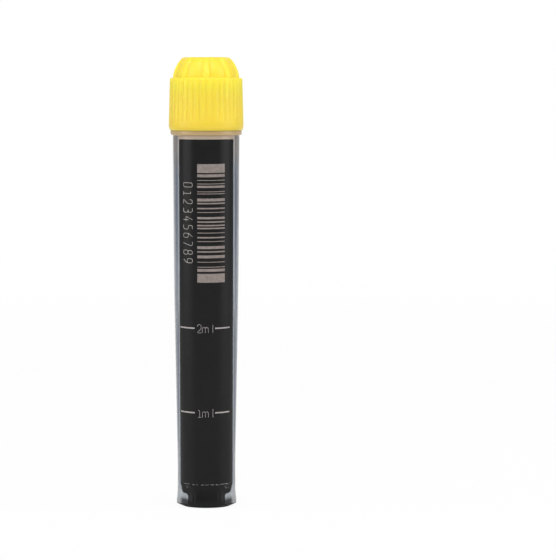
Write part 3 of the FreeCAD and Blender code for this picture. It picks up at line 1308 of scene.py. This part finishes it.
class Artwork(Recipe):
    """A tree whose flat artwork is laid on the front panel and gets a finish."""

    # Where a Random Value node's limits start and where its result is.
    random_sockets = {"FLOAT": (2, 1), "INT": (4, 2)}

    def __init__(
        self,
        name: str,
        inputs: dict[str, object],
        wrap: Tree,
        takes_mesh: bool = False,
    ) -> None:
        """Makes the tree.

        Args:
            name: The tree's name.
            inputs: Each input's first value, by its name.
            wrap: The step that lays flat artwork on the panel.
            takes_mesh: Whether the tree works on a mesh that it is given.
        """
        super().__init__(name, {**inputs, "Finish": None}, takes_mesh)
        self.wrap = wrap

    def chance(
        self, low: Wire | float, high: Wire | float, offset: int, kind: str = "FLOAT"
    ) -> Wire:
        """Gives each point a random number.

        Args:
            low: The least that it can be.
            high: The most that it can be.
            offset: What is added to the tree's seed.
            kind: FLOAT, or INT for whole numbers.

        Returns:
            The random number.
        """
        first, result = self.random_sockets[kind]
        inputs = {first: low, first + 1: high, "Seed": self["Seed"] + float(offset)}
        return self.add("FunctionNodeRandomValue", result, inputs, data_type=kind)

    def cell(self, columns: int) -> Wire:
        """Gives a square of side 1 with some columns of points, so that it can bend."""
        size = {"Size X": 1.0, "Size Y": 1.0, "Vertices X": columns, "Vertices Y": 2}
        return self.add("GeometryNodeMeshGrid", 0, size)

    def tiles(self, place: Wire, size: Wire, cell: Wire) -> Wire:
        """Gives as many stretched cells as the tree's count says.

        Args:
            place: Where each one's middle is.
            size: How far each is stretched.
            cell: The cell.

        Returns:
            The cells, as instances.
        """
        line = self.add("GeometryNodeMeshLine", 0, {"Count": self["Count"]})
        spots = {"Points": self.placed_at(line, place), "Instance": cell, "Scale": size}
        return self.add("GeometryNodeInstanceOnPoints", 0, spots)

    def lay(self, flat: Wire) -> Tree:
        """Ends the tree by laying the artwork on the panel."""
        laid = self.add("GeometryNodeGroup", 0, {"Geometry": flat}, node_tree=self.wrap)
        return self.yields(laid, self["Finish"])


@dataclass(frozen=True)
class Ladder:
    """A ladder of bars in a rectangle: millimetres from the panel's middle, and heights.

    The widest bar and gap and the narrowest gap are numbers of modules.
    """

    left: float = -1.64
    right: float = 3.52
    low: float = 40.96
    high: float = 62.27
    end_bar: float = 1.58
    count: int = 23
    widest_bar: int = 4
    widest_gap: int = 5
    narrowest: float = 1.0
    seed: int = 37


@dataclass(frozen=True)
class DashRun:
    """A level run of scattered pale dashes: where it lies, in millimetres, and how it scatters."""

    left: float
    right: float
    height: float
    wander: float = 0.3
    count: int = 6
    seed: int = 3
    shortest: float = 0.06
    longest: float = 0.32
    thick: float = 0.036


def bar_tree(wrap: Tree) -> Tree:
    """Builds the tree that lays a ladder of bars of random height between two broad end bars.

    Args:
        wrap: The step that lays flat artwork on the panel.

    Returns:
        The tree.
    """
    tree = Artwork("bar_ladder", named_inputs(Ladder()), wrap)
    bars = tree.chance(1, tree["Widest bar"], 0, "INT")
    gaps = tree.chance(1, tree["Widest gap"], 1, "INT") + tree["Narrowest"]
    running = tree.node("GeometryNodeAccumulateField", data_type="FLOAT")
    tree.feed(running.inputs[0], bars + gaps)
    before, total = (Wire(tree, running.outputs[name]) for name in ("Trailing", "Total"))
    inner = tree["High"] - tree["Low"] - tree["End bar"] * 2.0
    module = inner / (total + tree["Narrowest"] + 1.0)
    middle = (tree["Left"] + tree["Right"]) / 2.0
    width = tree["Right"] - tree["Left"]
    height = tree["Low"] + tree["End bar"] + (before + gaps + bars / 2.0) * module
    cell = tree.cell(BAR_COLUMNS)
    size = tree.vector(width, bars * module, 1.0)
    ladder = tree.tiles(tree.vector(middle, height), size, cell)
    half_bar = tree["End bar"] / 2.0
    ends = []
    for level in (tree["Low"] + half_bar, tree["High"] - half_bar):
        move = {"Translation": tree.vector(middle, level)}
        stretch = {"Scale": tree.vector(width, tree["End bar"], 1.0)}
        ends.append(tree.add("GeometryNodeTransform", 0, {"Geometry": cell, **move, **stretch}))
    return tree.lay(tree.realized(tree.joined(*ends, ladder)))


def stroke_tree(wrap: Tree) -> Tree:
    """Builds the tree that burns drawn strokes into the panel as flat lines with round bends.

    Args:
        wrap: The step that lays flat artwork on the panel.

    Returns:
        The tree.
    """
    sizes = {"Stroke": 0.2, "Bend": 0.3, "Chord": 0.1}
    tree = Artwork("burnt_strokes", sizes, wrap, takes_mesh=True)
    drawn = tree.add("GeometryNodeMeshToCurve", 0, {"Mesh": tree["Geometry"]})
    corners = {"Curve": drawn, "Count": BEND_POINTS, "Radius": tree["Bend"], "Limit Radius": True}
    bent = tree.add("GeometryNodeFilletCurve", 0, corners, mode="POLY")
    chords = {"Curve": bent, "Length": tree["Chord"]}
    even = tree.add("GeometryNodeResampleCurve", 0, chords, mode="LENGTH")
    level = tree.add("GeometryNodeSetCurveNormal", 0, {"Curve": even}, mode="Z_UP")
    start, end = (tree.vector(tree["Stroke"] / 2.0 * side) for side in (-1.0, 1.0))
    nib = tree.add("GeometryNodeCurvePrimitiveLine", 0, {"Start": start, "End": end})
    return tree.lay(
        tree.add("GeometryNodeCurveToMesh", 0, {"Curve": level, "Profile Curve": nib})
    )


def dash_tree(wrap: Tree) -> Tree:
    """Builds the tree that scatters short dashes along a level line on the panel.

    Args:
        wrap: The step that lays flat artwork on the panel.

    Returns:
        The tree.
    """
    tree = Artwork("scattered_dashes", named_inputs(DashRun(-4.0, 4.0, 4.35)), wrap)
    aside = tree.chance(tree["Left"], tree["Right"], 0)
    height = tree["Height"] + tree.chance(-tree["Wander"], tree["Wander"], 1)
    share = tree.chance(0.0, 1.0, 2)
    length = tree["Shortest"] + share * share * (tree["Longest"] - tree["Shortest"])
    size = tree.vector(length, tree["Thick"] * tree.chance(*THICKNESS_SPREAD, 3), 1.0)
    dashes = tree.tiles(tree.vector(aside, height), size, tree.cell(DASH_COLUMNS))
    return tree.lay(tree.realized(dashes))


Stroke = tuple[Pair, ...]

# Each character's strokes, in shares of its height, with its left edge at 0 and its foot at 0,
# and half the width of a character.
HALF_WIDTH = 0.3
STROKES: dict[str, tuple[Stroke, ...]] = {
    "0": (((0.3, 0), (0, 0), (0, 1), (0.6, 1), (0.6, 0), (0.25, 0)),),
    "1": (((0.08, 0.8), (0.32, 1), (0.32, 0.01)), ((0.06, 0), (0.58, 0))),
    "2": (((0, 0.72), (0, 1), (0.56, 1), (0.56, 0.5), (0, 0.04), (0, 0), (0.58, 0)),),
    "3": (
        ((0, 1), (0.58, 1), (0.58, 0.54), (0.2, 0.54)),
        ((0.25, 0.54), (0.6, 0.54), (0.6, 0), (0, 0)),
    ),
    "4": (((0.42, 1), (0, 0.32)), ((0, 0.3), (0.64, 0.3)), ((0.46, 0), (0.46, 0.6))),
    "5": (((0.56, 1), (0.04, 1), (0.04, 0.57), (0.6, 0.57), (0.6, 0), (0, 0)),),
    "6": (((0.5, 1), (0, 0.62), (0, 0), (0.6, 0), (0.6, 0.56), (0.03, 0.56)),),
    "7": (((0, 1), (0.6, 1), (0.18, 0)),),
    "8": (
        ((0.3, 0.53), (0.04, 0.53), (0.04, 1), (0.56, 1), (0.56, 0.53), (0.26, 0.53)),
        ((0.33, 0.525), (0, 0.525), (0, 0), (0.6, 0), (0.6, 0.525), (0.28, 0.525)),
    ),
    "9": (((0.1, 0), (0.6, 0.38), (0.6, 1), (0, 1), (0, 0.44), (0.57, 0.44)),),
    "m": (
        ((-0.17, 0), (-0.17, 0.68), (0.28, 0.68), (0.28, 0)),
        ((0.285, 0.31), (0.285, 0.68), (0.73, 0.68), (0.73, 0)),
    ),
    "l": (((0.5, 1), (0.5, 0)),),
}


@dataclass(frozen=True)
class Inscription:
    """One line of characters: its text, middle, height and pitch in millimetres, and its turn."""

    characters: str
    along: float
    height: float
    size: float
    pitch: float
    turn: float = 0.0
    narrow: float = 1.0

    def strokes(self) -> list[list[Pair]]:
        """Sets the characters out on the flat panel.

        Returns:
            Each stroke's points, in millimetres.
        """
        angle = math.radians(self.turn)
        across, up = math.cos(angle), math.sin(angle)
        wide = self.size * self.narrow
        start = -self.pitch * (len(self.characters) - 1) / 2
        start -= HALF_WIDTH * self.size * self.narrow
        drawn = []
        for index, character in enumerate(self.characters):
            left = start + index * self.pitch
            for stroke in STROKES[character]:
                spots = [(left + x * wide, (y - 0.5) * self.size) for x, y in stroke]
                drawn.append(
                    [
                        (self.along + u * across - v * up, self.height + u * up + v * across)
                        for u, v in spots
                    ]
                )
        return drawn


@dataclass
class Marks:
    """The pale marks burnt into the front panel, and pale dashes at its cheeks and along its
    moulding seam, where they paint a broken highlight.
    """

    graduation_heights: tuple[float, ...] = (32.7, 17.4)
    graduation_spans: tuple[Pair, ...] = ((-5.47, -2.17), (1.58, 4.68))
    graduation_stroke: float = 0.24
    labels: tuple[Inscription, ...] = (
        Inscription("2ml", -0.17, 32.65, 1.5, 1.1, narrow=0.8),
        Inscription("1ml", -0.17, 17.35, 1.5, 1.1, narrow=0.8),
    )
    label_stroke: float = 0.062
    number: Inscription = Inscription("0123456789", -3.53, 51.65, 1.92, 1.515, -90.0, 0.66)
    number_stroke: float = 0.054
    bars: Ladder = Ladder()
    flashes: tuple[tuple[str, DashRun], ...] = (
        # Along the moulding seam the pale dashes are a painted highlight: the seam's broken pale
        # line.
        ("seam_flash", DashRun(-5.1, 5.1, 4.33, 0.04, 72)),
        ("left_cheek_flash", DashRun(-4.6, -3.3, 3.85, seed=5)),
        ("right_cheek_flash", DashRun(3.3, 4.6, 3.85, seed=8)),
    )

    def build(self, finishes: dict[str, Paint]) -> list[Thing]:
        """Builds every mark.

        Args:
            finishes: The materials by their finishes' names.

        Returns:
            The new objects.
        """
        fine, dash_paint = finishes[FINE.name], finishes[PALE_DASHES.name]
        wrap = wrap_tree()
        pen = stroke_tree(wrap)
        lines = [
            [(start, height), (end, height)]
            for height in self.graduation_heights
            for start, end in self.graduation_spans
        ]
        labels = [stroke for label in self.labels for stroke in label.strokes()]
        drawn = (
            ("graduation_lines", lines, self.graduation_stroke, fine),
            ("graduation_labels", labels, self.label_stroke, fine),
            ("number_column", self.number.strokes(), self.number_stroke, finishes[DIGIT.name]),
        )
        pieces = [
            self.make(name, pen, {"Stroke": width, "Finish": finish}, strokes)
            for name, strokes, width, finish in drawn
        ]
        ladder = {**named_inputs(self.bars), "Finish": finishes[MARK.name]}
        pieces.append(self.make("bar_ladder", bar_tree(wrap), ladder))
        dashes = dash_tree(wrap)
        for name, run in self.flashes:
            pieces.append(self.make(name, dashes, {**named_inputs(run), "Finish": dash_paint}))
        return pieces

    def make(
        self,
        name: str,
        tree: Tree,
        values: dict[str, object],
        strokes: Sequence[Sequence[Pair]] = (),
    ) -> Thing:
        """Makes one mark.

        Args:
            name: The object's name.
            tree: The tree that makes its form.
            values: The tree's inputs, with the finish among them.
            strokes: Each drawn stroke's points on the flat panel, in millimetres.

        Returns:
            The new object.
        """
        points: list[Spot] = []
        edges: list[tuple[int, int]] = []
        for stroke in strokes:
            first = len(points)
            points.extend((x, y, 0.0) for x, y in stroke)
            edges.extend((first + i, first + i + 1) for i in range(len(stroke) - 1))
        mesh = bpy.data.meshes.new(name)
        mesh.from_pydata(points, edges, [])
        thing = link(name, mesh)
        follow(thing, tree, values)
        return dress(bake(thing), values["Finish"])


# ---- Finishes ----


def moulded_skin_group() -> Tree:
    """Builds the shader group for moulded plastic: a slow mottle, fine grain and flow lines.

    Returns:
        The group.
    """
    board = Board(bpy.data.node_groups.new("moulded_skin", "ShaderNodeTree"))
    for name in ("Mottle", "Grain", "Flow"):
        board.socket(name, "Float", False)
    board.socket("Position", "Vector", True)
    for name, value in (("Mottle scale", 300.0), ("Grain scale", 6000.0), ("Flow stretch", 0.08)):
        board.socket(name, "Float", True, value)
    entry, way_out = board.node("NodeGroupInput"), board.node("NodeGroupOutput")
    place, mottle_scale, grain_scale, stretch = (Wire(board, out) for out in entry.outputs[:4])
    pair = {0: place, 1: board.vector(1.0, 1.0, stretch)}
    drawn = board.add("ShaderNodeVectorMath", 0, pair, operation="MULTIPLY")
    noises = (
        ("Mottle", place, mottle_scale, 4.0, 0.55),
        ("Grain", place, grain_scale, 2.0, 0.6),
        ("Flow", drawn, 900.0, 3.0, 0.5),
    )
    for name, *values in noises:
        inputs = dict(zip(("Vector", "Scale", "Detail", "Roughness"), values))
        board.feed(way_out.inputs[name], board.add("ShaderNodeTexNoise", "Fac", inputs))
    return board.tree


Reach = tuple[float, float, float, float]
EVERYWHERE: Reach = (-2.0, -1.0, 200.0, 201.0)
# The stretch of the mottle over which a finish goes from its deep tone to its other one.
MOTTLE_BAND = (0.35, 0.65)


def below(falling: float, end: float) -> Reach:
    """Gives the reach that starts at nothing and fades out between two distances."""
    return (-2.0, -1.0, falling, end)


def above(start: float, full: float) -> Reach:
    """Gives the reach that fades in between two distances and goes on past the tube's top."""
    return (start, full, 80.0, 81.0)


@dataclass(frozen=True)
class PaintedLight:
    """A painted light or shade: a tone that a finish takes on in one zone.

    The zone fades in over the first two distances of a reach and out over the last two, in
    millimetres: across is the distance to either side of the front's middle, deep the distance
    in front of the axis or behind it, up the height.
    """

    name: str
    tone: Colour
    across: Reach = EVERYWHERE
    deep: Reach = EVERYWHERE
    up: Reach = EVERYWHERE


def within(distance: Wire, reach: Reach) -> Wire:
    """Gives 1 inside a reach and 0 outside it, with soft ends."""
    start, full, falling, end = (MM * value for value in reach)
    return distance.eased(start, full) * (1.0 - distance.eased(falling, end))


@dataclass(frozen=True)
class Finish:
    """A moulded surface: two tones, gloss, how far each varies, and its painted light and shade."""

    name: str
    tone: Colour
    deep_tone: Colour
    roughness: float = 0.75
    roughness_spread: float = 0.05
    mottle_scale: float = 1800.0
    grain_scale: float = 14000.0
    grain_height: float = 0.012
    flow_height: float = 0.0
    flow_stretch: float = 0.08
    plain: tuple[tuple[str, object], ...] = ()
    veils: tuple[PaintedLight, ...] = ()

    def material(self, skin: Tree) -> Paint:
        """Builds the material.

        Args:
            skin: The shader group of moulded skin.

        Returns:
            The new material.
        """
        material = bpy.data.materials.new(self.name)
        material.use_nodes = True
        material.diffuse_color = self.tone
        board = Board(material.node_tree)
        shader = material.node_tree.nodes["Principled BSDF"]
        place = board.add("ShaderNodeTexCoord", "Object")
        surface = board.node("ShaderNodeGroup", node_tree=skin, label="moulded skin")
        scales = (place, self.mottle_scale, self.grain_scale, self.flow_stretch)
        for socket, value in zip(surface.inputs, scales):
            board.feed(socket, value)
        mottle, grain, flow = (Wire(board, output) for output in surface.outputs)
        tone = board.blend(mottle.eased(*MOTTLE_BAND), self.deep_tone, self.tone)
        relief = grain * self.grain_height + flow * self.flow_height
        bump = {"Strength": 1.0, "Distance": MM, "Height": relief}
        looks = {
            "Base Color": self.veiled(board, place, tone),
            "Roughness": (mottle - 0.5) * (2 * self.roughness_spread) + self.roughness,
            "Normal": board.add("ShaderNodeBump", "Normal", bump),
        }
        for socket, value in (*self.plain, *looks.items()):
            board.feed(shader.inputs[socket], value)
        return material

    def veiled(self, board: Board, place: Wire, tone: Wire) -> Wire:
        """Paints light and shade into the finish's colour, zone by zone.

        Args:
            board: The material's tree.
            place: The place on the object.
            tone: The colour without the painted light and shade.

        Returns:
            The colour with them.
        """
        if self.veils:
            x, y, height = board.parts(place)
            aside, deep = x.rule("ABSOLUTE"), y.rule("ABSOLUTE")
        for painted_zone in self.veils:
            share = within(aside, painted_zone.across) * within(deep, painted_zone.deep) * within(height, painted_zone.up)
            tone = board.blend(share, tone, painted_zone.tone, painted_zone.name)
        return tone


CLEAR = Finish(
    name="natural_moulding",
    tone=(0.345, 0.370, 0.405, 1.0),
    deep_tone=(0.315, 0.340, 0.375, 1.0),
    roughness=0.10,
    roughness_spread=0.03,
    mottle_scale=260.0,
    grain_scale=5200.0,
    grain_height=0.0015,
    flow_height=0.003,
    plain=(("IOR", 1.49), ("Transmission Weight", 0.55), ("Metallic", 0.0)),
    # Painted light and shade in the clear wall's colour, zone by zone.
    veils=(
        # Painted shade: the darker blue-grey middle of each side window, low and high.
        PaintedLight(
            name="low_core",
            tone=(0.118, 0.148, 0.205, 1.0),
            across=(4.92, 5.02, 5.4, 5.6),
            up=(8.0, 14.0, 30.0, 38.0),
        ),
        PaintedLight("core", (0.155, 0.186, 0.245, 1.0), (5.1, 5.25, 5.4, 5.7), up=above(30.0, 38.0)),
        # Painted highlight: the pale line along each panel's edge, low and high.
        PaintedLight("low_lip", (0.55, 0.61, 0.70, 1.0), below(4.86, 4.96), up=(2.6, 3.6, 32.0, 44.0)),
        PaintedLight("lip", (0.59, 0.65, 0.74, 1.0), below(4.98, 5.16), up=above(32.0, 44.0)),
        # Painted light: the side windows lighter, as if lit through from behind.
        PaintedLight("window", (0.52, 0.55, 0.58, 1.0), deep=below(0.5, 1.5)),
        # Painted glow: warm light from the yellow cap near the tube's top.
        PaintedLight("warm_core", (0.315, 0.292, 0.276, 1.0), above(5.1, 5.2), up=above(60.0, 66.0)),
        PaintedLight("warm_lip", (0.78, 0.74, 0.70, 1.0), below(5.02, 5.18), up=above(60.0, 66.0)),
        # Painted reflection: a warm band on the tube just above the panels' top.
        PaintedLight("shelf", (0.78, 0.64, 0.50, 1.0), below(4.9, 5.1), up=above(66.5, 66.8)),
        # Painted glow: warm light from the cap on the neck, and its yellow light in the collar.
        PaintedLight("neck", (0.60, 0.58, 0.54, 1.0), up=above(68.2, 68.4)),
        PaintedLight("collar", (0.80, 0.58, 0.285, 1.0), up=(67.2, 67.5, 68.25, 68.5)),
        # Painted light through the clear foot.
        PaintedLight("foot", (0.58, 0.62, 0.66, 1.0), up=below(2.8, 4.2)),
        # Painted shade: the dark base seen through the wall near the floor.
        PaintedLight("foot_core", (0.016, 0.020, 0.028, 1.0), below(4.35, 4.85), up=below(1.3, 2.3)),
    ),
)
DARK = Finish(
    name="dark_moulding",
    tone=(0.0050, 0.0049, 0.0050, 1.0),
    deep_tone=(0.0036, 0.0036, 0.0038, 1.0),
    roughness=0.26,
    mottle_scale=320.0,
    grain_scale=7500.0,
    grain_height=0.010,
    flow_height=0.006,
    plain=(("IOR", 1.49), ("Specular IOR Level", 0.22), ("Metallic", 0.0)),
)
YELLOW = Finish(
    name="yellow_moulding",
    tone=(0.935, 0.738, 0.054, 1.0),
    deep_tone=(0.922, 0.718, 0.048, 1.0),
    roughness=0.34,
    mottle_scale=280.0,
    grain_scale=6000.0,
    grain_height=0.002,
    flow_height=0.0006,
    plain=(
        ("IOR", 1.49),
        ("Specular IOR Level", 0.4),
        ("Subsurface Weight", 0.8),
        ("Subsurface Radius", (1.0, 0.8, 0.3)),
        ("Subsurface Scale", 0.0014),
    ),
    veils=(
        # Painted shade: the skirt darker than the crown, and its foot band darker still.
        PaintedLight("skirt", (0.895, 0.660, 0.059, 1.0), up=below(73.5, 77.2)),
        PaintedLight("band", (0.850, 0.610, 0.055, 1.0), up=below(68.8, 71.0)),
    ),
)
SEAL = Finish(
    name="pale_elastomer",
    tone=(0.70, 0.70, 0.68, 1.0),
    deep_tone=(0.62, 0.62, 0.60, 1.0),
    roughness=0.62,
    roughness_spread=0.08,
    mottle_scale=500.0,
    grain_scale=8000.0,
    grain_height=0.010,
    plain=(("IOR", 1.42),),
)
MARK = Finish(
    name="burnt_mark",
    tone=(0.256, 0.215, 0.197, 1.0),
    deep_tone=(0.200, 0.170, 0.155, 1.0),
    roughness_spread=0.08,
    plain=(("IOR", 1.45),),
)
FINE = replace(
    MARK, name="fine_mark", tone=(0.405, 0.377, 0.370, 1.0), deep_tone=(0.345, 0.320, 0.315, 1.0)
)
DIGIT = replace(
    MARK, name="digit_mark", tone=(0.64, 0.60, 0.58, 1.0), deep_tone=(0.56, 0.52, 0.51, 1.0)
)
# Pale dashes; along the jacket's moulding seam they paint a broken highlight.
PALE_DASHES = Finish(
    name="pale_flash",
    tone=(0.62, 0.61, 0.60, 1.0),
    deep_tone=(0.38, 0.37, 0.36, 1.0),
    roughness=0.5,
    roughness_spread=0.1,
    mottle_scale=3000.0,
    grain_height=0.010,
    plain=(("IOR", 1.49),),
)
FINISHES = (CLEAR, DARK, YELLOW, SEAL, MARK, FINE, DIGIT, PALE_DASHES)


# ---- Studio ----


@dataclass(frozen=True)
class Softbox:
    """A soft lamp: where it stands, in metres, its size and how bright its face is."""

    name: str
    place: Spot
    width: float
    height: float
    brightness: float
    target: Spot = (0.0, 0.0, 0.04)

    def put_up(self) -> None:
        """Makes the lamp and turns it to its target."""
        lamp = bpy.data.lights.new(self.name, "AREA")
        lamp.shape = "RECTANGLE"
        lamp.size, lamp.size_y = self.width, self.height
        lamp.energy = self.brightness * math.pi * self.width * self.height
        turn = (Vector(self.target) - Vector(self.place)).to_track_quat("-Z", "Y")
        place = Matrix.Translation(self.place)
        link(self.name, lamp).matrix_world = place @ turn.to_matrix().to_4x4()


@dataclass
class Studio:
    """The white floor and backdrop, the lamps and the camera, in metres and degrees."""

    floor_reach: float = 1.5
    wall_distance: float = 1.6
    wall_height: float = 1.6
    wall_half_width: float = 0.62
    sweep_radius: float = 0.5
    sweep_points: int = 17
    world_level: float = 0.45
    floor_drop: float = 0.00002
    paper_tone: Colour = (0.90, 0.90, 0.90, 1.0)
    near_share: float = 0.94
    near_reach: float = 0.25
    far_reach: float = 0.8
    camera_distance: float = 0.666
    camera_height: float = 0.0815
    camera_pitch: float = 3.472
    camera_yaw: float = 1.118
    lens: float = 236.5
    sensor: float = 36.0
    clip: Pair = (0.01, 50.0)
    softboxes: tuple[Softbox, ...] = (
        Softbox("left_softbox", (-1.0, -0.35, 0.40), 0.7, 1.0, 1.7),
        Softbox("right_softbox", (1.0, -0.35, 0.40), 0.7, 1.0, 1.7),
        Softbox("front_softbox", (0.0, -0.75, 1.05), 1.3, 0.9, 2.6),
    )

    def build(self) -> None:
        """Builds the whole studio."""
        self.set_world()
        self.lay_floor()
        for softbox in self.softboxes:
            softbox.put_up()
        self.aim_camera()
        bpy.context.scene.view_settings.view_transform = "Standard"

    def set_world(self) -> None:
        """Makes the even light of the room, white only where the camera sees past the stage."""
        world = bpy.data.worlds.new("room")
        bpy.context.scene.world = world
        world.use_nodes = True
        board = Board(world.node_tree)
        back = world.node_tree.nodes["Background"]
        board.feed(back.inputs["Color"], WHITE)
        camera = board.add("ShaderNodeLightPath", "Is Camera Ray")
        board.feed(back.inputs["Strength"], camera * (1.0 - self.world_level) + self.world_level)

    def lay_floor(self) -> None:
        """Lays the floor and the backdrop that sweeps up behind it."""
        radius, half = self.sweep_radius, self.wall_half_width
        start = self.wall_distance - radius
        sweep = [
            (start + radius * math.sin(a), radius * (1 - math.cos(a)))
            for a in np.linspace(0, math.pi / 2, self.sweep_points)
        ]
        ends = (-self.floor_reach, 0.0), (self.wall_distance, self.wall_height)
        side = [ends[0], (0.0, 0.0), *sweep, ends[1]]
        points = [(x, y, z - self.floor_drop) for y, z in side for x in (-half, half)]
        faces = [(2 * i, 2 * i + 1, 2 * i + 3, 2 * i + 2) for i in range(len(side) - 1)]
        mesh = bpy.data.meshes.new("studio_sweep")
        mesh.from_pydata(points, [], faces)
        mesh.shade_smooth()
        mesh.materials.append(self.paper())
        link("studio_sweep", mesh)

    def paper(self) -> Paint:
        """Makes the white paper, which keeps the vial's shadow.

        Returns:
            The new material.
        """
        material = bpy.data.materials.new("studio_paper")
        material.use_nodes = True
        board = Board(material.node_tree)
        nodes = material.node_tree.nodes
        nodes.remove(nodes["Principled BSDF"])
        matte = board.add("ShaderNodeBsdfDiffuse", 0, {"Color": self.paper_tone})
        glow = board.add("ShaderNodeEmission", 0, {"Color": WHITE, "Strength": 1.0})
        place = board.add("ShaderNodeTexCoord", "Object")
        distance = board.add("ShaderNodeVectorMath", "Value", {0: place}, operation="LENGTH")
        away = distance.eased(self.near_reach, self.far_reach)
        path = board.node("ShaderNodeLightPath")
        rays = ("Camera", "Glossy", "Transmission")
        camera, glossy, through = (Wire(board, path.outputs[f"Is {ray} Ray"]) for ray in rays)
        seen = camera * (away * (1.0 - self.near_share) + self.near_share)
        mirrored = glossy.most(through) * distance.eased(0.0, self.near_reach)
        shares = {0: seen.most(mirrored), 1: matte, 2: glow}
        blend = board.add("ShaderNodeMixShader", 0, shares)
        board.feed(nodes["Material Output"].inputs["Surface"], blend)
        return material

    def aim_camera(self) -> None:
        """Sets the camera up level with the cap's top, looking a little down and to the right."""
        camera = bpy.data.cameras.new("camera")
        camera.lens, camera.sensor_width = self.lens, self.sensor
        camera.clip_start, camera.clip_end = self.clip
        thing = link("camera", camera)
        thing.location = (0.0, -self.camera_distance, self.camera_height)
        turns = (90.0 - self.camera_pitch, 0.0, -self.camera_yaw)
        thing.rotation_euler = [math.radians(turn) for turn in turns]
        bpy.context.scene.camera = thing


# ---- The whole vial ----


def hand_over(thing: Thing, body: str, node: str = "") -> None:
    """Tells the frame what a finished piece is.

    Args:
        thing: The piece.
        body: The body that it rides on.
        node: The node that it replaces, if any.
    """
    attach(thing, body)
    if node:
        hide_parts(node)
    triangles = sum(len(face.vertices) - 2 for face in thing.data.polygons)
    log.info("%s rides on %s with %d triangles", thing.name, body, triangles)


def main() -> None:
    """Builds the studio and the vial's pieces in order."""
    logging.basicConfig(level=logging.INFO, format="%(name)s: %(message)s", stream=sys.stdout)
    for thing in list(bpy.data.objects):
        bpy.data.objects.remove(thing, do_unlink=True)
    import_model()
    at = Anchors.from_frame()
    skin = moulded_skin_group()
    finishes = {finish.name: finish.material(skin) for finish in FINISHES}

    solids = (
        (Tube(at), CLEAR, "vial", "natural_polypropylene", "tube"),
        (Jacket(at), DARK, "vial", "dark_polypropylene", "jacket"),
        (ScrewCap(at), YELLOW, "cap", "yellow_cap", "cap"),
        (SealRing(at), SEAL, "seal", "seal_rubber", "cap_seal"),
    )
    for maker, finish, body, slot, node in solids:
        hand_over(dress(maker.build(), finishes[finish.name]), body, node)
    for mark in Marks().build(finishes):
        hand_over(mark, "vial")

    Studio().build()


if __name__ == "__main__":
    main()
